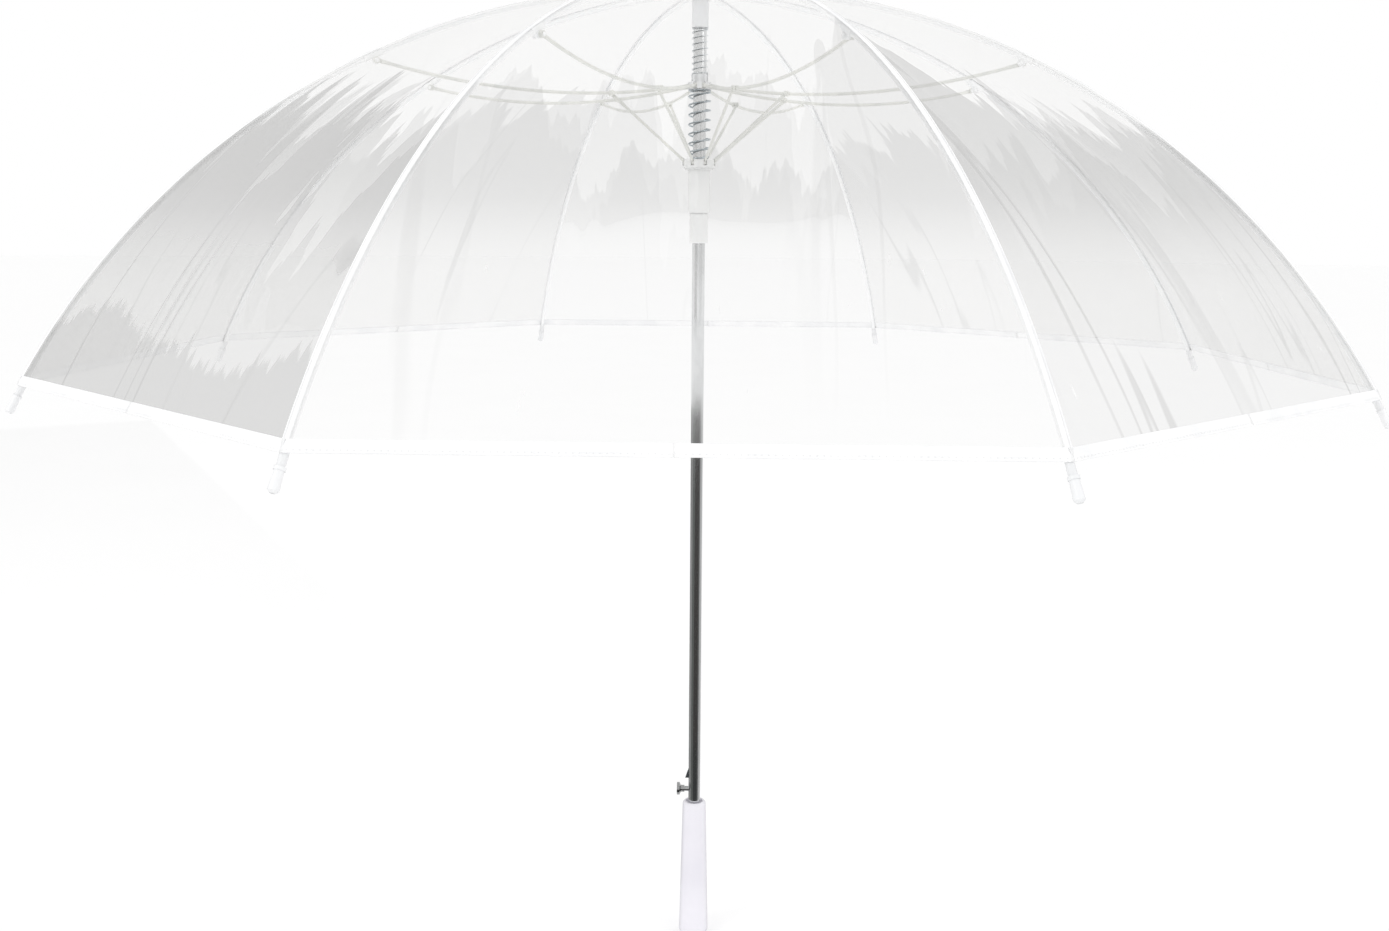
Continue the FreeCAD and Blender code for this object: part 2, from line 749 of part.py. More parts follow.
def handle():
    """The straight plastic handle, widening downwards, with a bevelled top and a round bottom edge."""
    body = turned(
        "handle",
        [
            ("shaft_radius", SHAFT_BOTTOM),
            ("shaft_radius", f"{HANDLE_TOP} - handle_recess"),
            ("handle_recess_radius", f"{HANDLE_TOP} - handle_recess"),
            ("handle_recess_radius", HANDLE_TOP),
            ("handle_top_radius - handle_bevel", HANDLE_TOP),
            ("handle_top_radius", f"{HANDLE_TOP} - handle_bevel"),
            ("handle_bottom_radius", "-handle_length / 2"),
            ("0", "-handle_length / 2"),
            ("0", SHAFT_BOTTOM),
        ],
    )
    bottom = -size("handle_length") / 2
    rim = next(
        f"Edge{number}"
        for number, edge in enumerate(body.Shape.Edges, start=1)
        if edge.BoundBox.ZLength < 1e-6
        and abs(edge.BoundBox.ZMin - bottom) < 1e-6
        and edge.BoundBox.XLength > 2 * size("handle_top_radius")
    )
    grip = body.Tip
    rounded = body.newObject("PartDesign::Fillet", "handle_end")
    rounded.Base = (grip, [rim])
    rounded.setExpression("Radius", bound("handle_end_round"))
    document.recompute()
    return body


def rib_tip_body():
    """A rib's plastic tip, drawn upright: its socket below Z = 0, its round end above."""
    body = turned(
        "rib_tip",
        [
            ("0", "-tip_socket_length"),
            ("tip_socket_radius", "-tip_socket_length"),
            ("tip_socket_radius", "hem_overhang + tip_bore_clearance + slide_clearance"),
            ("tip_collar_radius", "hem_overhang + tip_bore_clearance + slide_clearance"),
            ("tip_collar_radius", "hem_overhang + tip_collar_length"),
            ("tip_neck_radius", "hem_overhang + tip_collar_length"),
            ("tip_end_radius", "tip_length - tip_end_radius / 2"),
            ("tip_end_radius / 2", "tip_length"),
            ("0", "tip_length"),
        ],
    )
    bore = Part.makeCylinder(
        size("rib_radius") + size("tip_bore_clearance"),
        size("tip_bore_depth"),
        Vector(0, 0, -size("tip_socket_length")),
    )
    return body.Shape.cut(bore)


def button_shape():
    """The release button, a spool along -X: a wide head, a waist, and a stem that goes into the shaft."""
    outer = -size("shaft_radius") - size("button_reach")
    carrier = -size("shaft_radius") + size("shaft_wall") + size("catch_clearance")
    stem_end = carrier + size("carrier_thickness")
    face = -size("shaft_radius") - size("button_travel") - size("catch_clearance")
    height = size("button_height")
    along = Vector(1, 0, 0)
    head = size("button_head")
    pieces = [
        Part.makeCylinder(size("button_head_radius"), head, Vector(outer, 0, height), along),
        Part.makeCone(
            size("button_head_radius"),
            size("button_waist_radius"),
            head / 2,
            Vector(outer + head, 0, height),
            along,
        ),
        Part.makeCylinder(
            size("button_waist_radius"), face - outer - head, Vector(outer + head, 0, height), along
        ),
        Part.makeCylinder(
            size("button_stem_radius"), stem_end - face, Vector(face, 0, height), along
        ),
    ]
    return pieces[0].fuse(pieces[1:]).removeSplitter()


def catch_tooth_shape():
    """The catch tooth and its carrier strip: a slope on top that the runner rides over, flat underneath.

    The button's stem is riveted through the strip's lower end.
    """
    carrier = -size("shaft_radius") + size("shaft_wall") + size("catch_clearance")
    root = carrier + size("carrier_thickness") / 2
    low = size("catch_height") - size("catch_half_height")
    high = size("catch_height") + size("catch_half_height")
    out = -size("shaft_radius") - size("catch_reach")
    width = size("catch_half_width")
    tooth_outline = Part.makePolygon(
        [
            Vector(root, -width, low),
            Vector(out, -width, low),
            Vector(-size("shaft_radius"), -width, high),
            Vector(root, -width, high),
            Vector(root, -width, low),
        ]
    )
    tooth = Part.Face(tooth_outline).extrude(Vector(0, 2 * width, 0))
    overlap = size("carrier_overlap")
    bottom = size("button_height") - size("button_stem_radius") - overlap
    strip = Part.makeBox(
        size("carrier_thickness"),
        2 * size("carrier_half_width"),
        high + overlap - bottom,
        Vector(carrier, -size("carrier_half_width"), bottom),
    )
    bore = Part.makeCylinder(
        size("shaft_radius") - size("shaft_wall") - size("catch_clearance"),
        high + overlap - bottom,
        Vector(0, 0, bottom),
    )
    stem = Part.makeCylinder(
        size("button_stem_radius"),
        2 * size("shaft_radius"),
        Vector(-2 * size("shaft_radius"), 0, size("button_height")),
        Vector(1, 0, 0),
    )
    return tooth.fuse(strip.common(bore)).removeSplitter().cut(stem)


def catch_spring_shape():
    """The bent leaf in the tube that pushes the carrier outwards, from the far wall to the carrier."""
    far_wall = size("shaft_radius") - size("shaft_wall") - size("catch_clearance") * 2
    near = (
        -size("shaft_radius") + size("shaft_wall") + size("catch_clearance")
        + size("carrier_thickness") + size("catch_clearance")
    )
    middle = (size("button_height") + size("catch_height")) / 2
    thick = size("leaf_thickness")
    half = size("leaf_length") / 2
    outer = [
        Vector(far_wall - thick, 0, middle - half),
        Vector(near, 0, middle),
        Vector(far_wall - thick, 0, middle + half),
    ]
    inner = [
        Vector(far_wall, 0, middle + half),
        Vector(near + thick, 0, middle),
        Vector(far_wall, 0, middle - half),
    ]
    leaf = Part.Face(Part.makePolygon(outer + inner + outer[:1]))
    leaf.translate(Vector(0, -size("leaf_half_width"), 0))
    return leaf.extrude(Vector(0, 2 * size("leaf_half_width"), 0))


def tip_placement(number):
    """Where a tip drawn upright goes: on the end of its rib, pointing along it."""
    end, slope = on_rib(size("canopy_radius"))
    lean = Rotation(Vector(0, 1, 0), 90 + math.degrees(slope))
    return around(number).multiply(Placement(end, lean))


def build_parts():
    """Every sub-part, by node name."""
    parts = {}
    parts["shaft_tube"] = shaft_tube()
    parts["top_notch"] = top_notch()
    parts["slider_ring"] = slider_ring()
    parts["runner"] = runner()
    parts["canopy_washer"] = canopy_washer()
    parts["ferrule"] = ferrule()
    parts["handle"] = handle()
    parts["buffer_spring"] = coil(
        "buffer_spring", "buffer_spring_radius", "buffer_spring_wire", "buffer_spring_turns",
        f"{SLIDER_TOP} + spring_clearance", f"{NOTCH_BOTTOM} - spring_clearance",
    )
    parts["main_spring"] = coil(
        "main_spring", "main_spring_radius", "main_spring_wire", "main_spring_turns",
        f"{RUNNER_TOP} + spring_clearance", f"{SLIDER_BOTTOM} - spring_clearance",
    )
    parts["release_button"] = made("release_button", button_shape())
    parts["catch_tooth"] = made("catch_tooth", catch_tooth_shape())
    parts["catch_spring"] = made("catch_spring", catch_spring_shape())
    rib = Part.makeCompound(rib_solids())
    stretcher = Part.makeCompound(stretcher_solids())
    link = Part.makeCompound(link_solids())
    tip = rib_tip_body()
    halves = {
        word: Part.makeCompound(canopy_half_solids(side)) for word, side in (("left", 1), ("right", -1))
    }
    for number in range(1, RIB_COUNT + 1):
        for word, shape in (("rib", rib), ("stretcher", stretcher), ("link", link)):
            name = f"{word}_{number}"
            parts[name] = made(name, shape, around(number))
        name = f"rib_tip_{number}"
        parts[name] = made(name, tip, tip_placement(number))
        for word, shape in halves.items():
            name = f"canopy_{number}_{word}"
            parts[name] = made(name, shape, around(number))
    return parts


def check_and_write(parts):
    """Stops on any failed object or bad shape, then writes each sub-part to its STEP file."""
    document.recompute()
    for item in document.Objects:
        if "Invalid" in item.State or "Error" in item.State:
            raise RuntimeError(f"{item.Label} failed: {item.State}")
    os.makedirs("parts", exist_ok=True)
    for name, item in parts.items():
        item.Label = name
        if item.Shape.isNull() or not item.Shape.isValid() or not item.Shape.Solids:
            raise RuntimeError(f"{name} has no valid solid")
    for name, item in parts.items():
        item.Shape.exportStep(f"parts/{name}.step")
        box = item.Shape.BoundBox
        print(f"{name}: {len(item.Shape.Solids)} solids, {item.Shape.Volume:.1f} mm3, "
              f"z {box.ZMin:.1f} to {box.ZMax:.1f}")


check_and_write(build_parts())
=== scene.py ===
"""A clear stick umbrella with eight ribs, built on its CAD frame and dressed piece by piece."""

import logging
import math
from dataclasses import dataclass
from enum import Enum
from typing import Any

import bpy
import numpy as np
from mathutils import Matrix, Vector


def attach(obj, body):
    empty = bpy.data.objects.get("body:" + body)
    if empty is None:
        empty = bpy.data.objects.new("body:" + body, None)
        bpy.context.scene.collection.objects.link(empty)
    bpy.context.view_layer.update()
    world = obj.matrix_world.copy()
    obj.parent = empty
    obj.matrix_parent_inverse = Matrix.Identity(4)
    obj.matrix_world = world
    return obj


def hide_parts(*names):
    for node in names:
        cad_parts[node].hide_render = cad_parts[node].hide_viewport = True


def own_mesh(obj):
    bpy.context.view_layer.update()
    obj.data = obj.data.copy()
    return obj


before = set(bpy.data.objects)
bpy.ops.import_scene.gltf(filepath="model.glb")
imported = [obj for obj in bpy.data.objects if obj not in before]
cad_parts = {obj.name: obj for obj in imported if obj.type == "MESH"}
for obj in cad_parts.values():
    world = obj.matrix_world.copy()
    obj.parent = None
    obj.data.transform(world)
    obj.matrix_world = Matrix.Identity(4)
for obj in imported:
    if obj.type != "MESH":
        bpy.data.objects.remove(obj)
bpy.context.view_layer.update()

log = logging.getLogger("umbrella")

MM = 0.001
RIB_COUNT = 8
HALF_GORE = math.pi / RIB_COUNT
RIVET_HEAD = 0.6 * MM
RIVET_RADIUS = 0.8 * MM
EYE_HALF = 1.25 * MM
EYE_HOLE = 0.75 * MM
EYE_SOFT = 0.25 * MM
EYE_SIDES = 24
ROD_SIDES = 14
ACROSS = np.array([0.0, 1.0, 0.0])
UP = np.array([0.0, 0.0, 1.0])
WARM = (1.0, 0.995, 0.98)
Array = np.ndarray


class Side(Enum):
    """Which side of its rib a half gore lies on, seen from above."""

    LEFT = 1
    RIGHT = -1


class Slot(Enum):
    """The record's material slots."""

    PLASTIC = "white_plastic"
    SPRING = "spring_steel"
    RIB = "rib_white"
    STRUT = "strut_cream"
    FILM = "clear_film"


# ---- shader nodes ----


class Value:
    """A number socket, which Python's operators turn into Math nodes."""

    def __init__(self, tree: "NodeTree", socket: bpy.types.NodeSocket) -> None:
        """Keeps the socket and the tree it is in."""
        self.tree = tree
        self.socket = socket

    def _math(self, operation: str, first: Any, second: Any) -> "Value":
        """One Math node.

        Args:
            operation: the Math node's operation.
            first: the left-hand value.
            second: the right-hand value.

        Returns:
            The node's result.
        """
        made = self.tree.node("ShaderNodeMath", {"operation": operation}, {0: first, 1: second})
        return Value(self.tree, made.outputs[0])

    def __add__(self, other: Any) -> "Value":
        """The sum."""
        return self._math("ADD", self, other)

    def __sub__(self, other: Any) -> "Value":
        """The difference."""
        return self._math("SUBTRACT", self, other)

    def __rsub__(self, other: Any) -> "Value":
        """The difference from a number."""
        return self._math("SUBTRACT", other, self)

    def __mul__(self, other: Any) -> "Value":
        """The product."""
        return self._math("MULTIPLY", self, other)

    __radd__ = __add__
    __rmul__ = __mul__

    def least(self, other: Any) -> "Value":
        """The smaller of two values."""
        return self._math("MINIMUM", self, other)

    def most(self, other: Any) -> "Value":
        """The larger of two values."""
        return self._math("MAXIMUM", self, other)

    def wave(self) -> "Value":
        """The sine."""
        return self._math("SINE", self, 0.0)

    def size(self) -> "Value":
        """The value without its sign."""
        return self._math("ABSOLUTE", self, 0.0)

    def step(self, low: float, high: float) -> "Value":
        """Rises smoothly from 0 at low to 1 at high.

        Args:
            low: where the rise starts.
            high: where it ends; below low, the value falls instead.

        Returns:
            The risen value, from 0 to 1.
        """
        settings = {"interpolation_type": "SMOOTHSTEP"}
        links = {"Value": self, "From Min": low, "From Max": high}
        return Value(self.tree, self.tree.node("ShaderNodeMapRange", settings, links).outputs[0])


class NodeTree:
    """A material's nodes, made one at a time."""

    def __init__(self, name: str) -> None:
        """Makes an empty material of that name."""
        self.material = bpy.data.materials.new(name)
        self.material.use_nodes = True
        self.tree = self.material.node_tree
        self.tree.nodes.clear()
        self.output = self.tree.nodes.new("ShaderNodeOutputMaterial")

    def node(self, kind: str, settings: dict[str, Any], links: dict[Any, Any]) -> bpy.types.Node:
        """One node, with its settings made before its sockets are filled.

        Args:
            kind: the node's type.
            settings: its properties.
            links: for each socket, by name or number, a number, a tuple, a Value or a socket.

        Returns:
            The node.
        """
        made = self.tree.nodes.new(kind)
        for key, setting in settings.items():
            setattr(made, key, setting)
        for key, link in links.items():
            if isinstance(link, Value):
                link = link.socket
            if isinstance(link, bpy.types.NodeSocket):
                self.tree.links.new(link, made.inputs[key])
            else:
                made.inputs[key].default_value = link
        return made

    def coordinates(self, kind: str, stretch: tuple[float, float, float]) -> bpy.types.NodeSocket:
        """Texture coordinates, scaled along each axis.

        Args:
            kind: "Object" or "UV".
            stretch: the scale along each axis.

        Returns:
            The scaled vector socket.
        """
        source = self.node("ShaderNodeTexCoord", {}, {}).outputs[kind]
        mapped = self.node("ShaderNodeMapping", {}, {"Vector": source, "Scale": stretch})
        return mapped.outputs[0]

    def noise(self, where: Any, scale: float, detail: float = 2.0, rough: float = 0.5) -> Value:
        """Smooth noise from 0 to 1.

        Args:
            where: the vector socket it is read at.
            scale: how many features go to a unit.
            detail: how many finer layers are added.
            rough: how strong each finer layer is.

        Returns:
            The noise value.
        """
        links = {"Vector": where, "Scale": scale, "Detail": detail, "Roughness": rough}
        return Value(self, self.node("ShaderNodeTexNoise", {}, links).outputs[0])

    def blend(self, share: Any, first: Any, second: Any) -> bpy.types.NodeSocket:
        """A colour between two others.

        Args:
            share: how much of the second there is.
            first: the colour at share 0.
            second: the colour at share 1.

        Returns:
            The colour socket.
        """
        mixed = self.node("ShaderNodeMix", {"data_type": "RGBA"}, {0: share, 6: first, 7: second})
        return mixed.outputs[2]

    def bump(self, height: Value, distance: float, strength: float = 1.0) -> bpy.types.NodeSocket:
        """A bumped normal.

        Args:
            height: the height from 0 to 1.
            distance: how far, in metres, a height of 1 stands out.
            strength: the share of the effect.

        Returns:
            The normal socket.
        """
        links = {"Height": height, "Distance": distance, "Strength": strength}
        return self.node("ShaderNodeBump", {}, links).outputs[0]

    def shade(self, links: dict[str, Any]) -> bpy.types.NodeSocket:
        """A Principled shader with these sockets filled, and its output."""
        return self.node("ShaderNodeBsdfPrincipled", {}, links).outputs[0]

    def finish(self, surface: bpy.types.NodeSocket) -> bpy.types.Material:
        """Links the surface to the output and returns the material."""
        self.tree.links.new(surface, self.output.inputs["Surface"])
        return self.material


def grey(level: float, tint: tuple[float, float, float] = (1.0, 1.0, 1.0)) -> tuple[float, ...]:
    """An opaque colour of that level, tinted."""
    return (level * tint[0], level * tint[1], level * tint[2], 1.0)


@dataclass(frozen=True)
class Chrome:
    """Bright plated steel with faint lines along the drawn tube and soft smudges."""

    name: str
    light: float = 0.80
    dark: float = 0.70
    roughness: float = 0.09
    line_scale: float = 900.0

    def material(self) -> bpy.types.Material:
        """Builds the material: lines are noise squeezed across the tube and drawn out along it."""
        tree = NodeTree(self.name)
        lines = tree.noise(tree.coordinates("Object", (1.0, 1.0, 0.01)), self.line_scale, 2.0)
        smudges = tree.noise(tree.coordinates("Object", (1.0, 1.0, 0.4)), 60.0, 3.0, 0.6)
        cool = (0.985, 0.995, 1.0)
        colour = tree.blend(smudges.step(0.35, 0.7), grey(self.light, cool), grey(self.dark, cool))
        rough = smudges.step(0.4, 0.8) * 0.10 + self.roughness
        normal = tree.bump(lines, 0.02 * MM, 0.25)
        links = {"Base Color": colour, "Metallic": 1.0, "Roughness": rough, "Normal": normal}
        return tree.finish(tree.shade(links))


@dataclass(frozen=True)
class Plastic:
    """Moulded plastic: a fine skin, slight milkiness, faint changes of tone and painted edge shade."""

    name: str
    light: tuple[float, float, float]
    shade: tuple[float, float, float]
    roughness: float = 0.34
    milk: float = 0.15
    # How much painted shade darkens the edges that turn from the view.
    rim: float = 0.16
    grain: float = 1400.0

    def material(self) -> bpy.types.Material:
        """Builds the material from two noises, broad for tone and fine for the skin, with painted edge
        shade.
        """
        tree = NodeTree(self.name)
        where = tree.coordinates("Object", (1.0, 1.0, 1.0))
        broad = tree.noise(where, 28.0, 3.0)
        fine = tree.noise(where, self.grain, 2.0)
        face = tree.blend(broad.step(0.3, 0.72), (*self.light, 1.0), (*self.shade, 1.0))
        # Painted shade: the colour darkens towards a third of its shade tone where the surface turns from
        # the view.
        facing = tree.node("ShaderNodeLayerWeight", {}, {"Blend": 0.5}).outputs["Facing"]
        edge = Value(tree, facing).step(0.35, 1.0) * self.rim
        colour = tree.blend(edge, face, tuple(0.35 * c for c in self.shade) + (1.0,))
        rough = fine * 0.10 + broad * 0.08 + (self.roughness - 0.09)
        links = {
            "Base Color": colour,
            "Roughness": rough,
            "Normal": tree.bump(fine, 0.03 * MM, 0.35),
            "Subsurface Weight": self.milk,
            "Subsurface Scale": 0.004,
            "Subsurface Radius": (1.0, 1.0, 1.0),
            "IOR": 1.48,
        }
        return tree.finish(tree.shade(links))


@dataclass(frozen=True)
class PaintedSteel:
    """Powder-painted steel wire: orange-peel skin, a little dust in the tone and a painted glow."""

    name: str
    light: tuple[float, float, float]
    shade: tuple[float, float, float]
    # Painted light: emission that makes the paint brighter than its lighting.
    painted_glow: float = 0.0
    roughness: float = 0.38

    def material(self) -> bpy.types.Material:
        """Builds the material: peel is fine noise, dust a broad one that also dulls the gloss."""
        tree = NodeTree(self.name)
        where = tree.coordinates("Object", (1.0, 1.0, 1.0))
        peel = tree.noise(where, 900.0, 1.0)
        dust = tree.noise(where, 70.0, 4.0, 0.6)
        colour = tree.blend(dust.step(0.35, 0.75), (*self.light, 1.0), (*self.shade, 1.0))
        rough = dust.step(0.3, 0.8) * 0.16 + self.roughness
        links = {
            "Base Color": colour,
            "Roughness": rough,
            "Normal": tree.bump(peel, 0.05 * MM, 0.4),
            "Coat Weight": 0.15,
            "Coat Roughness": 0.2,
            # Painted light: a white glow, though the part is no lamp.
            "Emission Color": grey(1.0),
            "Emission Strength": self.painted_glow,
        }
        return tree.finish(tree.shade(links))


@dataclass(frozen=True)
class SpringSteel:
    """Coiled wire, plated or oil-blued, with drawing lines and duller patches."""

    name: str
    light: tuple[float, float, float]
    shade: tuple[float, float, float]
    roughness: float = 0.2

    def material(self) -> bpy.types.Material:
        """Builds the material: patches of noise change tone and gloss together."""
        tree = NodeTree(self.name)
        where = tree.coordinates("Object", (1.0, 1.0, 1.0))
        patches = tree.noise(where, 220.0, 3.0, 0.6)
        colour = tree.blend(patches.step(0.3, 0.7), (*self.light, 1.0), (*self.shade, 1.0))
        rough = patches.step(0.3, 0.8) * 0.15 + self.roughness
        normal = tree.bump(tree.noise(where, 2600.0, 1.0), 0.02 * MM, 0.3)
        links = {"Base Color": colour, "Metallic": 1.0, "Roughness": rough, "Normal": normal}
        return tree.finish(tree.shade(links))


@dataclass(frozen=True)
class ClearFilm:
    """Clear soft film: nearly all see-through, greyed by painted reflection in torn bands and a few long
    creases.

    Its UV map holds metres across the gore from the gore's middle, and metres down from the top,
    with each gore shifted far along so that no two are alike. Its per-gore attribute says how
    strong the painted reflection bands and greyness are on that gore.
    """

    name: str
    body: float = 0.065
    # Painted reflection: how solid the grey bands are, and below, how far down their torn top edge lies.
    band: float = 0.52
    # Painted reflection: how solid the grey crease lines are.
    crease: float = 0.30
    mirror: float = 0.5
    band_top: float = 0.325

    def material(self) -> bpy.types.Material:
        """Builds the material: painted reflection in bands, creases, glints and Fresnel sets how solid
        the film is.

        A band's edge is a height on the film, moved up and down by noises that are drawn out
        along the gore, so it looks torn into long fingers. The band thins out towards the rim.
        """
        tree = NodeTree(self.name)
        place = tree.node("ShaderNodeTexCoord", {}, {}).outputs["UV"]
        down = Value(tree, tree.node("ShaderNodeSeparateXYZ", {}, {"Vector": place}).outputs[1])
        # Per gore, how strong the painted reflection is, set for the view from the front.
        painted_reflection = Value(tree, tree.node("ShaderNodeAttribute", {"attribute_name": "painted_reflection"}, {}).outputs[2])
        broad = tree.noise(tree.coordinates("UV", (4.5, 2.0, 1.0)), 1.0, 1.0, 0.5)
        finger = tree.noise(tree.coordinates("UV", (24.0, 3.0, 1.0)), 1.0, 2.0, 0.55)
        feather = tree.noise(tree.coordinates("UV", (120.0, 11.0, 1.0)), 1.0, 2.0, 0.6)
        streak = tree.noise(tree.coordinates("UV", (15.0, 1.0, 1.0)), 1.0, 2.0, 0.5)
        fine = tree.noise(tree.coordinates("UV", (170.0, 30.0, 1.0)), 1.0, 2.0, 0.5)
        torn = (broad - 0.5) * 0.30 + (finger - 0.5) * 0.34 + (feather - 0.5) * 0.10
        top_edge = (down + torn).step(self.band_top - 0.003, self.band_top + 0.005)
        second = (down + torn * 1.7 - (streak - 0.5) * 0.3).step(0.345, 0.352) * 0.32
        thinning = 1.0 - down.step(0.36, 0.52) * (0.95 - painted_reflection * 0.5)
        foot = (down + (feather - 0.5) * 0.05 + (broad - 0.5) * 0.12).step(0.540, 0.547)
        # Painted reflection: grey torn bands that stand for the studio reflected in the film.
        reflection_bands = top_edge * (0.68 + second) * thinning + foot * painted_reflection.step(0.7, 1.0) * 0.28
        # Creases: real folds, drawn as thin grey lines of painted reflection.
        thin = (streak - 0.5).size().step(0.010, 0.002)
        creases = thin * broad.step(0.44, 0.60) * down.step(0.2, 0.3)
        # Painted highlights: small white glints low on the film.
        glints = fine.step(0.69, 0.74) * finger.step(0.56, 0.64) * down.step(0.42, 0.48)
        fresnel = Value(tree, tree.node("ShaderNodeFresnel", {}, {"IOR": 1.5}).outputs[0])
        solid = (reflection_bands * self.band + creases * self.crease + self.body) * painted_reflection
        # Painted reflection at grazing angles: the Fresnel share greys the film, scaled by the mirror
        # share.
        share = (solid + (fresnel - 0.04) * self.mirror * (painted_reflection * 0.6 + 0.4) + 0.015).least(0.9)
        # The painted reflection's grey: pale on the film, darker in the bands and crease lines.
        tone = tree.blend((creases + reflection_bands * 1.3).least(1.0), grey(0.84, WARM), grey(0.42, WARM))
        colour = tree.blend(glints.least(1.0), tone, grey(1.0))
        waves = finger * 0.45 + streak * 0.55 + broad * 0.5
        links = {
            "Base Color": colour,
            "Roughness": 0.12,
            "Normal": tree.bump(waves, 1.2 * MM, 0.25),
            "IOR": 1.5,
            "Specular IOR Level": 0.4,
        }
        see_through = tree.node("ShaderNodeBsdfTransparent", {}, {"Color": grey(0.994)})
        mixed = tree.node(
            "ShaderNodeMixShader",
            {},
            {0: share.most(glints * 0.7), 1: see_through.outputs[0], 2: tree.shade(links)},
        )
        return tree.finish(mixed.outputs[0])


@dataclass(frozen=True)
class Tape:
    """White film tape, welded and stitched, with a thread line, a pressed weave and a painted glow.

    Its UV map holds metres along the tape and metres across it from its outer edge.
    """

    name: str
    stitch: float = 3.2 * MM
    line: float = 1.4 * MM
    # Painted light: emission that makes the tape brighter than its lighting.
    painted_glow: float = 0.04

    def material(self) -> bpy.types.Material:
        """Builds the material: stitches repeat along the tape on one line near its edge."""
        tree = NodeTree(self.name)
        place = tree.node("ShaderNodeTexCoord", {}, {}).outputs["UV"]
        parts = tree.node("ShaderNodeSeparateXYZ", {}, {"Vector": place})
        along = Value(tree, parts.outputs[0])
        across = Value(tree, parts.outputs[1])
        beat = (along * (math.tau / self.stitch)).wave()
        row = (across - self.line).size().step(0.5 * MM, 0.25 * MM)
        thread = row * beat.step(-0.5, -0.1)
        hole = row * beat.step(-0.7, -0.95)
        where = tree.coordinates("Object", (1.0, 1.0, 1.0))
        weave = tree.noise(where, 1500.0, 1.0)
        tone = tree.noise(where, 40.0, 3.0)
        white = tree.blend(tone.step(0.3, 0.7), grey(0.97), grey(0.90, (0.985, 0.99, 1.0)))
        colour = tree.blend(hole * 0.22, white, grey(0.45))
        height = thread * 0.8 - hole * 0.8 + weave * 0.12
        links = {
            "Base Color": colour,
            "Roughness": tone * 0.15 + 0.32,
            "Normal": tree.bump(height, 0.25 * MM, 0.6),
            # Painted light: a faint white glow, though the tape is no lamp.
            "Emission Color": grey(1.0),
            "Emission Strength": self.painted_glow,
        }
        return tree.finish(tree.shade(links))


@dataclass(frozen=True)
class PaleFloor:
    """The plain pale floor, lifted a little so that it meets the surround."""

    name: str
    lift: float = 0.10

    def material(self) -> bpy.types.Material:
        """Builds the material: one pale tone with a hardly seen mottle."""
        tree = NodeTree(self.name)
        tone = tree.noise(tree.coordinates("Object", (1.0, 1.0, 1.0)), 3.0, 2.0)
        colour = tree.blend(tone, grey(0.96), grey(0.94))
        links = {
            "Base Color": colour,
            "Roughness": 0.9,
            "Emission Color": grey(1.0),
            "Emission Strength": self.lift,
        }
        return tree.finish(tree.shade(links))


class Finishes:
    """Every finish of the umbrella, each built once."""

    def __init__(self) -> None:
        """Builds the materials."""
        self.film = ClearFilm("clear_film").material()
        self.tape = Tape("white_tape").material()
        # The last number of rib and strut is their painted glow, painted light on parts that are no lamp.
        self.rib = PaintedSteel("rib_white", (0.95, 0.95, 0.95), (0.90, 0.91, 0.92), 0.07).material()
        self.strut = PaintedSteel("strut_cream", (0.80, 0.80, 0.76), (0.68, 0.69, 0.66), 0.05).material()
        self.shaft = Chrome("chrome_tube").material()
        self.button = Chrome("chrome_button", 0.52, 0.34, 0.12, 500.0).material()
        self.runner = Plastic("runner_plastic", (0.92, 0.92, 0.91), (0.86, 0.865, 0.86)).material()
        self.plastic = Plastic("white_plastic", (0.92, 0.92, 0.93), (0.86, 0.87, 0.88)).material()
        # The handle's last number is a strong painted shade on its edges turned from the view.
        self.handle = Plastic(
            "handle_plastic", (0.88, 0.865, 0.92), (0.84, 0.825, 0.885), 0.30, 0.15, 0.45
        ).material()
        self.blued = SpringSteel("spring_blued", (0.62, 0.67, 0.70), (0.40, 0.45, 0.48)).material()
        self.bright = SpringSteel("spring_bright", (0.86, 0.88, 0.89), (0.66, 0.69, 0.71)).material()


# ---- surfaces ----


